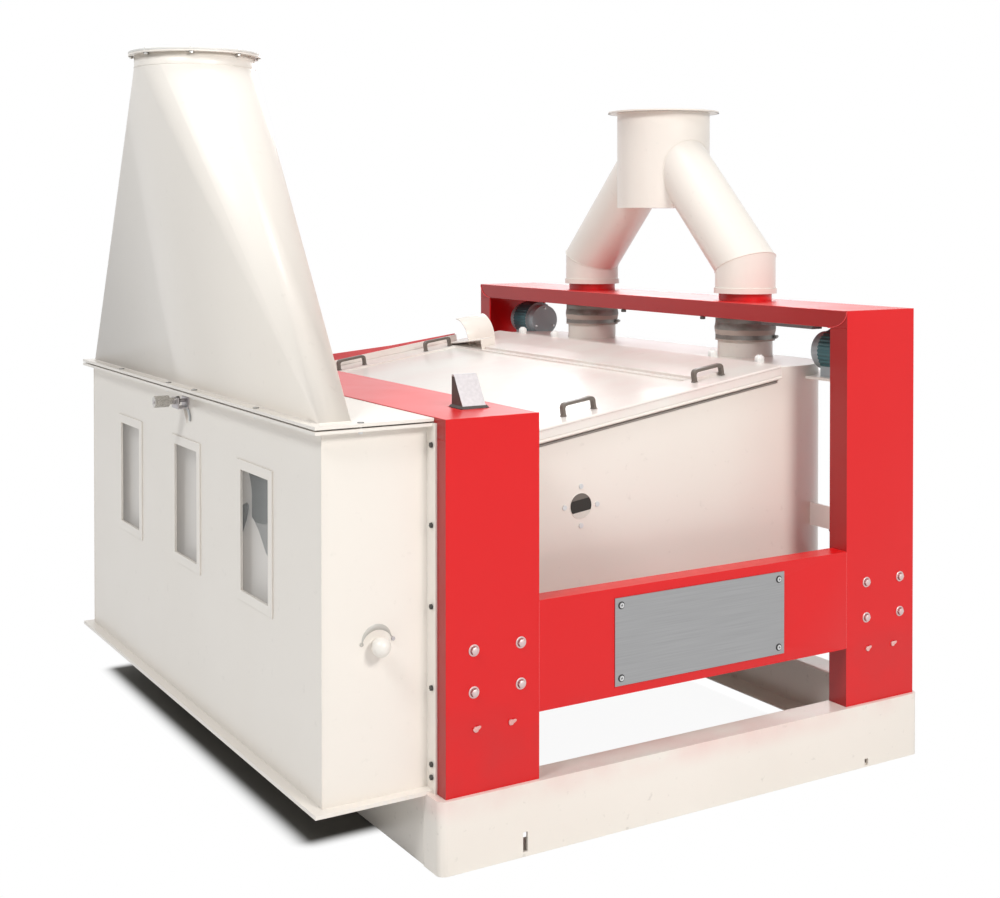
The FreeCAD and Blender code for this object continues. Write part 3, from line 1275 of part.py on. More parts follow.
# A cover plate lies on the rim over a gasket and leaves a long slot along the front for the exhaust air.
SLOT_LEFT = CHANNEL_FRONT + " + hood_sheet"
cover = block("cover_plate", CHANNEL_FRONT + " - rim_overhang", "-%s - rim_overhang" % CHANNEL_HALF,
              "aspiration_top - rim_sheet", "aspiration_depth + rim_overhang + aspiration_flange - rim_back",
              "aspiration_width + 2 * rim_overhang", "rim_sheet")
gasket_outer = block("gasket_outer", CHANNEL_FRONT + " - gasket_reach", "-%s - gasket_reach" % CHANNEL_HALF,
                     "aspiration_top - rim_sheet - rim_gap", "aspiration_depth + gasket_reach",
                     "aspiration_width + 2 * gasket_reach", "rim_gap")
slot = block("cover_slot", SLOT_LEFT, "-%s + hood_margin + hood_sheet" % CHANNEL_HALF,
             "aspiration_top - rim_sheet - beyond", "slot_depth - 2 * hood_sheet",
             "aspiration_width - 2 * (hood_margin + hood_sheet)", "rim_sheet + 2 * beyond")
rim_bolt_x = CHANNEL_FRONT + " - rim_overhang / 2"
rim_bolts = []
rim_holes = []
places = [(rim_bolt_x, y) for y in ("-rim_bolt_far", "-rim_bolt_near", "rim_bolt_near", "rim_bolt_far")]
for side in (-1, 1):
    places.append(("%s + rim_bolt_side" % CHANNEL_FRONT,
                   "%d * (%s + rim_overhang / 2)" % (side, CHANNEL_HALF)))
for number, (x, y) in enumerate(places):
    name = "rim_bolt_%d" % number
    rim_holes.append(cylinder(name + "_hole", x, y, RIM_BELOW + " - beyond", "small_bolt + bolt_clearance",
                              "2 * (rim_sheet + beyond) + rim_gap"))
    bolt = screw(name, x, y, "aspiration_top", Z_AXIS, "small_head", "small_bolt", "small_bolt",
                 "2 * rim_sheet + rim_gap + small_head", True)
    nut = hexagon(name + "_nut", x, y, RIM_BELOW, "small_head", "small_head", Z_AXIS.negative())
    rim_bolts.append(fuse(name, [bolt, nut]))
rim_hole_set = fuse("rim_hole_set", rim_holes)
node("aspiration_cover", cut("cover_form", cover, [slot, rim_hole_set]))
node("aspiration_shell", cut("channel_shell_drilled", shell, rim_hole_set))
node("cover_gasket", cut("gasket_form", gasket_outer, room))
node("rim_bolts", group("rim_bolt_group", rim_bolts))

# Each window is a pane behind the opening and a raised frame around it.
frames = []
panes = []
for number, y in enumerate(WINDOW_PLACES):
    outer = block("window_frame_outer_%d" % number, CHANNEL_FRONT + " - window_frame_sheet",
                  y + " - window_width / 2 - window_border",
                  "window_centre_z - window_height / 2 - window_border",
                  "window_frame_sheet", "window_width + 2 * window_border",
                  "window_height + 2 * window_border")
    inner = block("window_frame_inner_%d" % number, CHANNEL_FRONT + " - window_frame_sheet - beyond",
                  y + " - window_width / 2", "window_centre_z - window_height / 2",
                  "window_frame_sheet + 2 * beyond", "window_width", "window_height")
    frames.append(cut("window_frame_%d" % number, outer, inner))
    panes.append(block("window_pane_%d" % number, CHANNEL_FRONT + " + " + SHEET,
                       y + " - window_width / 2 - window_border / 2",
                       "window_centre_z - window_height / 2 - window_border / 2", "pane_sheet",
                       "window_width + window_border", "window_height + window_border"))
node("window_frames", group("window_frame_group", frames))
node("window_panes", group("window_pane_group", panes))

# A partition hangs from the cover behind the slot and divides the rising air from the grain.
partition = block("partition_plate", SLOT_LEFT + " + slot_depth", "-%s + %s" % (CHANNEL_HALF, SHEET),
                  "partition_bottom", SHEET, "aspiration_width - 2 * " + SHEET,
                  "aspiration_top - rim_sheet - partition_bottom")
partition_foot = block("partition_foot", SLOT_LEFT + " + slot_depth", "-%s + 2 * rim_overhang" % CHANNEL_HALF,
                       "aspiration_top - rim_sheet - " + SHEET, "rim_overhang",
                       "aspiration_width - 4 * rim_overhang", SHEET)
node("partition", fuse("partition_form", [partition, partition_foot]))

# A flap on a cross shaft sets the width of the grain stream and is turned by a ball knob outside.
flap_shaft = cylinder("flap_shaft", SHAFT_X, "-%s - knob_gap" % CHANNEL_HALF, "flap_z", "shaft_radius",
                      "aspiration_width + 2 * knob_gap", Y_AXIS)
flap_blade = block("flap_blade", SHAFT_X + " - flap_sheet / 2",
                   "-%s + %s + flap_margin" % (CHANNEL_HALF, SHEET),
                   "flap_z - flap_tail", "flap_sheet", "aspiration_width - 2 * %s - 2 * flap_margin" % SHEET,
                   "flap_reach + flap_tail")
node("flap", fuse("flap_form", [flap_shaft, flap_blade]))
knob = body("knob_body")
knob_profile = sketch(knob, "knob_profile", "XY_Plane", "flap_z")
KNOB_Y = "(-%s - knob_stem - knob_centre)" % CHANNEL_HALF
profile_points = []
for step in range(SIZES["knob_facets"] + 1):
    turn = "(%d * 180 / knob_facets)" % step
    profile_points.append(("%s + knob_radius * sin(%s)" % (SHAFT_X, turn),
                           "%s - knob_radius * cos(%s)" % (KNOB_Y, turn)))
outline(knob_profile, profile_points)
doc.recompute()
knob_turn = knob.newObject("PartDesign::Revolution", "knob_turn")
knob_turn.Profile = knob_profile
knob_turn.ReferenceAxis = (knob_profile, ["Edge%d" % (SIZES["knob_facets"] + 1)])
knob_turn.Angle = 360
knob.Tip = knob_turn
stem = cylinder("knob_stem_bar", SHAFT_X, "-%s - knob_stem" % CHANNEL_HALF, "flap_z", "knob_collar",
                "knob_stem - knob_gap", Y_AXIS)
node("flap_knob", fuse("flap_knob_form", [knob, stem]))

# The exhaust hood runs from the long slot in the cover to a round neck and is folded from sheet.
# Its flat faces are triangles that end at the neck, and each corner opens into a fan of narrow bends.


def triangle(first, second, third):
    """A flat face between three points."""
    return Part.Face(Part.makePolygon([first, second, third, first]))


def hood_solid(inset):
    """The hood's solid form, drawn in by an inset on every side."""
    origin_x = (sheet.hood_offset + sheet.hood_flange - sheet.inlet_x - sheet.trunk_flange) / 2
    left = origin_x - sheet.aspiration_flange - sheet.aspiration_depth + inset
    right = left + sheet.slot_depth - 2 * inset
    half = sheet.aspiration_width / 2 - sheet.hood_margin - inset
    low = sheet.aspiration_top
    corners = [Vector(right, -half, low), Vector(right, half, low), Vector(left, half, low),
               Vector(left, -half, low)]
    bends = SIZES["hood_bends"]
    rim = []
    for step in range(len(corners) * bends):
        bearing = math.radians(step * 90 / bends - 90)
        rim.append(Vector(origin_x - sheet.hood_offset + (sheet.hood_round - inset) * math.cos(bearing),
                          (sheet.hood_round - inset) * math.sin(bearing), sheet.hood_top))
    faces = [Part.Face(Part.makePolygon(corners + corners[:1])), Part.Face(Part.makePolygon(rim + rim[:1]))]
    for index, corner in enumerate(corners):
        for bend in range(bends):
            first = index * bends + bend
            faces.append(triangle(corner, rim[first], rim[(first + 1) % len(rim)]))
        faces.append(triangle(corner, corners[(index + 1) % len(corners)],
                              rim[(index + 1) * bends % len(rim)]))
    solid = Part.makeSolid(Part.makeShell(faces))
    if solid.Volume < 0:
        solid.reverse()
    return solid


hood_walls = doc.addObject("Part::Feature", "hood_walls")
hood_walls.Shape = hood_solid(0).cut(hood_solid(sheet.hood_sheet))
HOOD_X = "(%s - hood_offset)" % OUTLET
neck = cylinder("hood_neck_tube", HOOD_X, "0", "hood_top", "hood_round", "hood_neck")
neck_flange = cylinder("hood_neck_flange", HOOD_X, "0", "hood_top + hood_neck", "hood_flange", "flange_sheet")
neck_bore = cylinder("hood_neck_bore", HOOD_X, "0", "hood_top - beyond", "hood_round - hood_sheet",
                     "hood_neck + flange_sheet + 2 * beyond")
flange_holes = []
flange_bolts = []
CAP_TOP = "(hood_top + hood_neck + flange_sheet + cap_thickness)"
for number in range(SIZES["flange_bolts"]):
    bearing = "((%d + 1 / 2) * 360 / flange_bolts)" % number
    reach = "(hood_round + hood_flange) / 2"
    x = "%s + %s * cos(%s)" % (HOOD_X, reach, bearing)
    y = "%s * sin(%s)" % (reach, bearing)
    flange_holes.append(cylinder("flange_hole_%d" % number, x, y, "hood_top + hood_neck - beyond",
                                 "small_bolt + bolt_clearance", "flange_sheet + cap_thickness + 2 * beyond"))
    bolt = screw("flange_bolt_%d" % number, x, y, CAP_TOP, Z_AXIS, "small_head", "small_bolt", "small_bolt",
                 "flange_sheet + cap_thickness + small_head", True)
    nut = hexagon("flange_nut_%d" % number, x, y, "hood_top + hood_neck", "small_head",
                  "small_head - beyond", Z_AXIS.negative())
    flange_bolts.append(fuse("flange_bolt_set_%d" % number, [bolt, nut]))
flange_hole_set = fuse("flange_hole_set", flange_holes)
neck_solid = cut("hood_neck_form", fuse("hood_neck_solid", [neck, neck_flange]), neck_bore)
node("exhaust_hood", fuse("hood_form", [hood_walls, cut("hood_neck_drilled", neck_solid, flange_hole_set)]))
node("flange_bolts", group("flange_bolt_group", flange_bolts))

# A shallow dished cap closes the exhaust neck while no duct is fitted.
cap = body("cap_body")
cap_profile = sketch(cap, "cap_profile", "XZ_Plane")
CAP_BOTTOM = "(hood_top + hood_neck + flange_sheet)"
outline(cap_profile, [
    (HOOD_X, CAP_BOTTOM), (HOOD_X + " + hood_flange", CAP_BOTTOM), (HOOD_X + " + hood_flange", CAP_TOP),
    (HOOD_X + " + hood_round - small_head", CAP_TOP),
    (HOOD_X + " + hood_round * 3 / 4", CAP_TOP + " + cap_rise * 2 / 3"),
    (HOOD_X + " + hood_round * 3 / 8", CAP_TOP + " + cap_rise * 9 / 10"), (HOOD_X, CAP_TOP + " + cap_rise"),
])
doc.recompute()
cap_turn = cap.newObject("PartDesign::Revolution", "cap_turn")
cap_turn.Profile = cap_profile
cap_turn.ReferenceAxis = (cap_profile, ["Edge7"])
cap_turn.Angle = 360
cap.Tip = cap_turn
node("exhaust_cap", cut("cap_form", cap, flange_hole_set))

# A folded bracket under the rim at the middle of the front carries a stud with a six-sided grip on it.
bracket_block = block("latch_bracket_block", CHANNEL_FRONT + " - latch_arm", "-latch_width / 2",
                      "latch_z - latch_rise", "latch_arm", "latch_width", "latch_rise + 2 * latch_stud")
bracket_cut = block("latch_bracket_cut", CHANNEL_FRONT + " - latch_arm + latch_sheet",
                    "-latch_width / 2 - beyond", "latch_z - latch_rise + latch_sheet",
                    "latch_arm - 2 * latch_sheet", "latch_width + 2 * beyond", "latch_rise + 2 * latch_stud")
latch_bar = cylinder("latch_stud_bar", CHANNEL_FRONT, "0", "latch_z", "latch_stud", "latch_reach",
                     X_AXIS.negative())
node("latch_bracket", fuse("latch_bracket_form", [cut("latch_bracket_fold", bracket_block, bracket_cut),
                                                  latch_bar]))
grip_start = CHANNEL_FRONT + " - latch_arm - lid_clearance"
grip_collar = cylinder("latch_grip_collar", grip_start, "0", "latch_z", "latch_collar", "latch_collar_length",
                       X_AXIS.negative())
grip_hex = hexagon("latch_grip_hex", grip_start + " - latch_collar_length", "0", "latch_z", "latch_grip",
                   "latch_grip_length - latch_collar_length", X_AXIS.negative())
grip_bore = cylinder("latch_grip_bore", grip_start + " + beyond", "0", "latch_z",
                     "latch_stud + shaft_clearance",
                     "latch_grip_length + 2 * beyond", X_AXIS.negative())
node("latch_grip", cut("latch_grip_form", fuse("latch_grip_solid", [grip_collar, grip_hex]), grip_bore))

doc.recompute()
for thing in doc.Objects:
    if "Invalid" in thing.State or "Error" in thing.State:
        raise RuntimeError("%s failed: %s" % (thing.Name, thing.State))
for name, thing in NODES.items():
    if thing.Shape.isNull() or not thing.Shape.isValid():
        raise RuntimeError("%s has no valid shape" % name)
    thing.Shape.exportStep("parts/%s.step" % name)
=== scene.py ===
import math
import bpy
import bmesh
from mathutils import Matrix, Vector


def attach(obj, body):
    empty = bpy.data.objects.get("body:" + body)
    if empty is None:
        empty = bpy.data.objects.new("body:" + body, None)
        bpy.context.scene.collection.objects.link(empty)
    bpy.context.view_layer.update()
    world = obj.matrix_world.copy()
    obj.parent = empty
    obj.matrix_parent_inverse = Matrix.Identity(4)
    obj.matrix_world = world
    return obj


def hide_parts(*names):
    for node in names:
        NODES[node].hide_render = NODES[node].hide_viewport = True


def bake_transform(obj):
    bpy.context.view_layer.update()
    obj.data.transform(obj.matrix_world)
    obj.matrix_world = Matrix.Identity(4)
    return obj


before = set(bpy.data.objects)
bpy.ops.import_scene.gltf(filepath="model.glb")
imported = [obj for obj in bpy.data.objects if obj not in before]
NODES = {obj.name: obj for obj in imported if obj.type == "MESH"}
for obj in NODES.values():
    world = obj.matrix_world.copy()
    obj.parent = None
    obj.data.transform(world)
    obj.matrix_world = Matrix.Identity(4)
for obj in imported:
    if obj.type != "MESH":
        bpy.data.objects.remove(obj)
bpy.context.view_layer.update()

# The photographer stands in front of the machine's outlet corner, at eye height, and looks along the floor.
# The lens is shifted so that the upright edges stay parallel.
eye = bpy.data.cameras.new("eye")
eye.sensor_width = 36.0
eye.lens = 53.23
eye.shift_x = -0.0103
eye.shift_y = -0.2089
eye.clip_end = 60.0
stand = bpy.data.objects.new("eye", eye)
stand.location = (-2.3155, -4.170, 1.587)
stand.rotation_euler = (math.radians(90.0 - 0.781), 0.0, math.radians(-31.313))
bpy.context.scene.collection.objects.link(stand)
bpy.context.scene.camera = stand
bpy.context.scene.view_settings.view_transform = "Standard"

# The studio is a pale floor under a broad lamp in front, weaker ones left and behind, and one on top.
# Away from the machine, floor and sky look white to the lens and in gloss; under it the floor colour is painted
# dark as painted shade, and it still takes cast shadows.
FOOTPRINT = (0.79, 0.84, 0.4)
SHADE_FADE = 0.07
WHITE = (1.0, 1.0, 1.0, 1.0)


def node(tree, kind, inputs=None, **settings):
    """A shader node with its settings, each input a plain value or what another node gives."""
    made = tree.nodes.new("ShaderNode" + kind)
    for setting, choice in settings.items():
        setattr(made, setting, choice)
    for socket, source in (inputs or {}).items():
        if isinstance(source, bpy.types.NodeSocket):
            tree.links.new(source, made.inputs[socket])
        else:
            made.inputs[socket].default_value = source
    return made


def seen_directly(tree):
    """1 for what the lens sees itself, in gloss or through glass."""
    path = node(tree, "LightPath").outputs
    either = node(tree, "Math", {0: path["Is Camera Ray"], 1: path["Is Glossy Ray"]}, operation="MAXIMUM")
    seen = node(tree, "Math", {0: either.outputs["Value"], 1: path["Is Transmission Ray"]}, operation="MAXIMUM")
    return seen.outputs["Value"]


floor_mesh = bpy.data.meshes.new("studio_floor")
floor_mesh.from_pydata([(-30, -30, 0), (30, -30, 0), (30, 30, 0), (-30, 30, 0)], [], [(0, 1, 2, 3)])
floor = bpy.data.objects.new("studio_floor", floor_mesh)
floor.location = (0.0, 0.16, -0.001)
bpy.context.scene.collection.objects.link(floor)
floor_finish = bpy.data.materials.new("studio_floor")
floor_finish.use_nodes = True
floor_tree = floor_finish.node_tree
floor_shader = floor_tree.nodes["Principled BSDF"]
floor_shader.inputs["Roughness"].default_value = 0.9
floor_place = node(floor_tree, "TexCoord").outputs["Object"]
floor_fold = node(floor_tree, "VectorMath", {0: floor_place}, operation="ABSOLUTE")
floor_past = node(floor_tree, "VectorMath", {0: floor_fold.outputs["Vector"], 1: FOOTPRINT},
                  operation="SUBTRACT")
floor_beyond = node(floor_tree, "VectorMath", {0: floor_past.outputs["Vector"], 1: (0.0, 0.0, 0.0)},
                    operation="MAXIMUM")
floor_distance = node(floor_tree, "VectorMath", {0: floor_beyond.outputs["Vector"]}, operation="LENGTH")
floor_far = node(floor_tree, "MapRange", {"From Min": 0.0, "From Max": SHADE_FADE,
                                          "Value": floor_distance.outputs["Value"]},
                 interpolation_type="SMOOTHSTEP")
floor_axes = node(floor_tree, "SeparateXYZ", {"Vector": floor_place})
floor_inside = node(floor_tree, "MapRange", {"From Min": -0.56, "From Max": -0.30, "To Max": 0.94,
                                             "Value": floor_axes.outputs["X"]},
                    interpolation_type="SMOOTHSTEP")
floor_whiter = node(floor_tree, "Math", {0: floor_far.outputs["Result"], 1: floor_inside.outputs["Result"]},
                    operation="MAXIMUM").outputs["Value"]
# Inside the footprint the floor colour is painted dark: painted shade under the machine.
floor_colour_with_painted_shade = node(floor_tree, "Mix", {"A": (0.10, 0.096, 0.085, 1.0), "B": (0.90, 0.90, 0.89, 1.0),
                                        "Factor": floor_whiter}, data_type="RGBA")
floor_tree.links.new(floor_colour_with_painted_shade.outputs["Result"], floor_shader.inputs["Base Color"])
floor_seen = node(floor_tree, "Math", {0: seen_directly(floor_tree), 1: floor_whiter}, operation="MULTIPLY")
floor_glow = node(floor_tree, "Emission", {"Color": WHITE})
floor_mix = node(floor_tree, "MixShader", {"Fac": floor_seen.outputs["Value"], 1: floor_shader.outputs["BSDF"],
                                           2: floor_glow.outputs["Emission"]})
floor_tree.links.new(floor_mix.outputs["Shader"], floor_tree.nodes["Material Output"].inputs["Surface"])
floor_mesh.materials.append(floor_finish)

sky = bpy.data.worlds.new("studio_sky")
bpy.context.scene.world = sky
sky.use_nodes = True
sky_tree = sky.node_tree
sky_glow = sky_tree.nodes["Background"]
sky_glow.inputs["Color"].default_value = (0.97, 0.985, 1.0, 1.0)
sky_glow.inputs["Strength"].default_value = 0.34
sky_white = node(sky_tree, "Background", {"Color": WHITE, "Strength": 1.0})
sky_mix = node(sky_tree, "MixShader", {"Fac": seen_directly(sky_tree), 1: sky_glow.outputs["Background"],
                                       2: sky_white.outputs["Background"]})
sky_tree.links.new(sky_mix.outputs["Shader"], sky_tree.nodes["World Output"].inputs["Surface"])

LAMP_AIM = Vector((0.0, 0.0, 0.9))
for lamp_name, lamp_place, lamp_size, lamp_power, lamp_colour in (
    ("lamp_front", (0.4, -6.2, 4.4), 1.8, 222.0, (1.0, 0.985, 0.955)),
    ("lamp_left", (-4.3, -2.4, 5.4), 1.6, 140.0, (0.95, 0.98, 1.0)),
    ("lamp_top", (-0.4, 0.6, 6.0), 3.0, 95.0, (1.0, 1.0, 1.0)),
    ("lamp_back", (4.5, 5.0, 3.8), 3.0, 80.0, (0.97, 0.985, 1.0)),
):
    lamp = bpy.data.lights.new(lamp_name, "AREA")
    lamp.shape = "DISK"
    lamp.size = lamp_size
    lamp.energy = lamp_power
    lamp.color = lamp_colour
    lamp_stand = bpy.data.objects.new(lamp_name, lamp)
    lamp_stand.location = lamp_place
    lamp_stand.rotation_euler = (LAMP_AIM - Vector(lamp_place)).to_track_quat("-Z", "Y").to_euler()
    bpy.context.scene.collection.objects.link(lamp_stand)

# The base is a closed rectangle of folded steel channels, welded at the corners.
# It is sprayed in the cream enamel of the housing, and red overspray has drifted on it at the column feet.


def noise(tree, place, scale, detail):
    """Cloudy noise over a piece, from 0 to 1."""
    return node(tree, "TexNoise", {"Scale": scale, "Detail": detail, "Vector": place}).outputs["Fac"]


def ramp(tree, value, low, high, bottom=0.0, top=1.0, ease="LINEAR"):
    """A value between low and high, stretched to run from bottom to top."""
    ends = {"From Min": low, "From Max": high, "To Min": bottom, "To Max": top, "Value": value}
    return node(tree, "MapRange", ends, interpolation_type=ease).outputs["Result"]


def mixed(tree, factor, first, second):
    """Two colours mixed, each three numbers or what another node gives."""
    ends = [(*colour, 1.0) if isinstance(colour, tuple) else colour for colour in (first, second)]
    return node(tree, "Mix", {"A": ends[0], "B": ends[1], "Factor": factor}, data_type="RGBA").outputs["Result"]


def enamel(name, colour, shade, roughness=0.30, peel=0.05, grime=0.0, overspray_and_painted_light=None, lacquer=0.25, waves=0.07):
    """Sprayed gloss enamel: faintly cloudy colour, orange peel, wavy sheet and slightly uneven gloss."""
    finish = bpy.data.materials.new(name)
    finish.use_nodes = True
    tree = finish.node_tree
    shader = tree.nodes["Principled BSDF"]
    shader.inputs["Coat Weight"].default_value = lacquer
    shader.inputs["Specular IOR Level"].default_value = 0.2 + 0.8 * lacquer
    shader.inputs["Coat Roughness"].default_value = 0.14
    place = node(tree, "TexCoord").outputs["Object"]
    painted = mixed(tree, ramp(tree, noise(tree, place, 1.7, 3.0), 0.3, 0.62), shade, colour)
    if grime:
        specks = ramp(tree, noise(tree, place, 38.0, 6.0), 0.66, 0.80, top=grime)
        painted = mixed(tree, specks, painted, (0.36, 0.33, 0.29))
    # A tint banded by height: real red overspray on the base, painted shade low on the red frame and a painted
    # pink reflection of the red frame on the lid.
    if overspray_and_painted_light:
        axes = node(tree, "SeparateXYZ", {"Vector": place})
        amount = ramp(tree, noise(tree, place, 5.0, 4.0), 0.35, 0.75, top=overspray_and_painted_light["strength"])
        for axis, low, high in overspray_and_painted_light["bands"]:
            band = ramp(tree, axes.outputs[axis], low, high, ease="SMOOTHSTEP")
            amount = node(tree, "Math", {0: amount, 1: band}, operation="MULTIPLY").outputs["Value"]
        painted = mixed(tree, amount, painted, overspray_and_painted_light["colour"])
    tree.links.new(painted, shader.inputs["Base Color"])
    gloss = ramp(tree, noise(tree, place, 6.0, 3.0), 0.0, 1.0, roughness, roughness + 0.12)
    tree.links.new(gloss, shader.inputs["Roughness"])
    ripple = node(tree, "Bump", {"Strength": peel, "Distance": 0.0008,
                                 "Height": noise(tree, place, 240.0, 1.0)})
    waviness = node(tree, "Bump", {"Strength": waves, "Distance": 0.010, "Height": noise(tree, place, 3.5, 1.0),
                                   "Normal": ripple.outputs["Normal"]})
    tree.links.new(waviness.outputs["Normal"], shader.inputs["Normal"])
    return finish


def coat(piece, finish):
    """Gives a piece one finish all over."""
    if not piece.material_slots:
        piece.data.materials.append(finish)
    for pocket in piece.material_slots:
        pocket.material = finish
    return piece


def dress(node, finish, edge=0.0015):
    """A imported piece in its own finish, its sharp edges rounded by a sheet bender's radius."""
    piece = coat(NODES[node], finish)
    if edge:
        weld = piece.modifiers.new("weld", "WELD")
        weld.merge_threshold = 0.00002
        flat = piece.modifiers.new("flat", "DECIMATE")
        flat.decimate_type = "DISSOLVE"
        flat.angle_limit = math.radians(0.5)
        bend = piece.modifiers.new("edge", "BEVEL")
        bend.width = edge
        bend.segments = 3
        bend.limit_method = "ANGLE"
        bend.angle_limit = math.radians(35.0)
        bend.harden_normals = True
        bend.use_clamp_overlap = True
    return piece


CREAM_COLOUR, CREAM_SHADE = (0.850, 0.796, 0.733), (0.828, 0.772, 0.706)
BASE_CREAM = enamel("base_enamel", CREAM_COLOUR, CREAM_SHADE, grime=0.4,
                    overspray_and_painted_light={"colour": (0.78, 0.42, 0.40), "strength": 0.55, "bands": (("Z", 0.110, 0.184),)})
for beam in ("base_beam_front", "base_beam_back", "base_cross_beams"):
    dress(beam, BASE_CREAM, 0.004)

# Four columns, two portals and two side beams of folded sheet make the upper frame.
# They are welded together, sprayed red and bolted to what they carry.
# The red is painted darker towards the bottom, and darker still on faces that point to the outlet: painted shade.
RED = enamel("red_enamel", (0.690, 0.002, 0.004), (0.675, 0.001, 0.003), roughness=0.29, lacquer=0.18,
             waves=0.0,
             overspray_and_painted_light={"colour": (0.46, 0.022, 0.022), "strength": 0.45, "bands": (("Z", 0.420, 0.330),)})
red_tree = RED.node_tree
red_facing = node(red_tree, "SeparateXYZ", {"Vector": node(red_tree, "TexCoord").outputs["Normal"]})
red_outlet_side_shade = ramp(red_tree, red_facing.outputs["X"], -0.5, -0.95, top=0.8)
red_skin = red_tree.nodes["Principled BSDF"].inputs["Base Color"]
red_with_painted_shade = mixed(red_tree, red_outlet_side_shade, red_skin.links[0].from_socket, (0.30, 0.020, 0.020))
red_tree.links.new(red_with_painted_shade, red_skin)
for member in ("column_outlet_front", "column_outlet_back", "column_inlet_front", "column_inlet_back",
               "portal_outlet", "portal_inlet", "side_beam_front", "side_beam_back"):
    dress(member, RED, 0.0025)
dress("portal_necks", RED, 0.0)


def shape(name, finish):
    """A new empty mesh object that carries one finish."""
    piece = bpy.data.objects.new(name, bpy.data.meshes.new(name))
    bpy.context.scene.collection.objects.link(piece)
    piece.data.materials.append(finish)
    return piece


def fill(piece, mesh, smooth=None):
    """Pours a bmesh into a piece; edges sharper than the given angle stay crisp."""
    bmesh.ops.recalc_face_normals(mesh, faces=mesh.faces[:])
    if smooth is not None:
        for face in mesh.faces:
            face.smooth = True
        for edge in mesh.edges:
            if len(edge.link_faces) == 2 and edge.calc_face_angle(0.0) > math.radians(smooth):
                edge.smooth = False
    mesh.to_mesh(piece.data)
    mesh.free()
    return piece


def rounded(piece, radius, segments=3, limit=35.0):
    """Rounds the sharp edges of a piece."""
    bend = piece.modifiers.new("edge", "BEVEL")
    bend.width = radius
    bend.segments = segments
    bend.limit_method = "ANGLE"
    bend.angle_limit = math.radians(limit)
    bend.harden_normals = True
    for face in piece.data.polygons:
        face.use_smooth = True
    return piece


def bead(name, points, thickness, finish, body, closed=False):
    """A run of weld along a line: a thin round cord whose thickness ripples as the torch moves."""
    run = bpy.data.curves.new(name, "CURVE")
    run.dimensions = "3D"
    run.bevel_depth = thickness
    run.bevel_resolution = 2
    line = run.splines.new("POLY")
    line.points.add(len(points) - 1)
    for number, point in enumerate(points):
        line.points[number].co = (*point, 1.0)
        line.points[number].radius = 0.85 + 0.3 * (number % 2)
    line.use_cyclic_u = closed
    piece = bpy.data.objects.new(name, run)
    bpy.context.scene.collection.objects.link(piece)
    run.materials.append(finish)
    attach(piece, body)
    return piece


def between(start, end, count):
    """Evenly spaced points from start to end."""
    first, last = Vector(start), Vector(end)
    return [first.lerp(last, step / count) for step in range(count + 1)]


RED_WELD = enamel("red_weld", (0.74, 0.07, 0.07), (0.70, 0.03, 0.035), roughness=0.29, peel=0.2)
OUTLET = -0.5985
for side_name, side in (("front", -1.0), ("back", 1.0)):
    corner_line = []
    for step in range(15):
        turn = math.radians(90.0 * step / 14)
        corner_line.append((0.7165, side * (1.046 - 0.078 * (1.0 - math.cos(turn))),
                            1.323 - 0.050 * math.sin(turn)))
    bead("portal_corner_weld_" + side_name, corner_line, 0.0014, RED_WELD, "frame")
    for weld_name, weld_x in (("outlet", OUTLET + 0.268), ("inlet", 0.7175)):
        beam_seam = between((weld_x, side * 1.0465, 0.353), (weld_x, side * 1.0465, 0.630), 60)
        bead("beam_weld_%s_%s" % (weld_name, side_name), beam_seam, 0.0013, RED_WELD, "frame")

# Hexagon bolts with thick washers hold the spring brackets to the columns.
# They are zinc plated and dusted with red overspray; the two small studs below were painted over.


def metal(name, colour, roughness, scratches=0.0, grain=None, overspray=None):
    """Bare or plated metal with fine wear, and brushed along X where a grain is given."""
    finish = bpy.data.materials.new(name)
    finish.use_nodes = True
    tree = finish.node_tree
    shader = tree.nodes["Principled BSDF"]
    shader.inputs["Metallic"].default_value = 1.0
    place = node(tree, "TexCoord").outputs["Object"]
    stretch = node(tree, "Mapping", {"Scale": grain or (30.0, 30.0, 30.0), "Vector": place})
    streaks = noise(tree, stretch.outputs["Vector"], 4.0, 5.0)
    worn = mixed(tree, streaks, tuple(0.78 * part for part in colour),
                 tuple(min(1.0, 1.12 * part) for part in colour))
    if overspray:
        worn = mixed(tree, noise(tree, place, 60.0, 3.0), worn, overspray)
    tree.links.new(worn, shader.inputs["Base Color"])
    rough = ramp(tree, streaks, 0.0, 1.0, roughness, roughness + 0.14)
    tree.links.new(rough, shader.inputs["Roughness"])
    relief = node(tree, "Bump", {"Strength": 0.08 + scratches, "Distance": 0.0004, "Height": streaks})
    tree.links.new(relief.outputs["Normal"], shader.inputs["Normal"])
    return finish


UPWARD, FRONTWARD, OUTLETWARD = (0.0, 0.0, 1.0), (0.0, -1.0, 0.0), (-1.0, 0.0, 0.0)


def turned(name, profile, centre, axis, finish, steps=48, smooth=32.0):
    """A piece turned on a lathe from (radius, distance along the axis) points, closed from first to last."""
    piece = shape(name, finish)
    mesh = bmesh.new()
    along = Vector(axis).normalized()
    across = along.orthogonal().normalized()
    up = along.cross(across)
    rings = []
    for radius, reach in profile:
        spine = Vector(centre) + along * reach
        if radius < 1e-6:
            rings.append([mesh.verts.new(spine)])
            continue
        rings.append([mesh.verts.new(spine + radius * (across * math.cos(2 * math.pi * step / steps)
                                                       + up * math.sin(2 * math.pi * step / steps)))
                      for step in range(steps)])
    closed = len(rings[0]) > 1 and len(rings[-1]) > 1
    pairs = list(zip(rings, rings[1:])) + ([(rings[-1], rings[0])] if closed else [])
    for lower, upper in pairs:
        for step in range(steps):
            following = (step + 1) % steps
            corners = [lower[step % len(lower)], lower[following % len(lower)],
                       upper[following % len(upper)], upper[step % len(upper)]]
            mesh.faces.new(list(dict.fromkeys(corners)))
    return fill(piece, mesh, smooth)


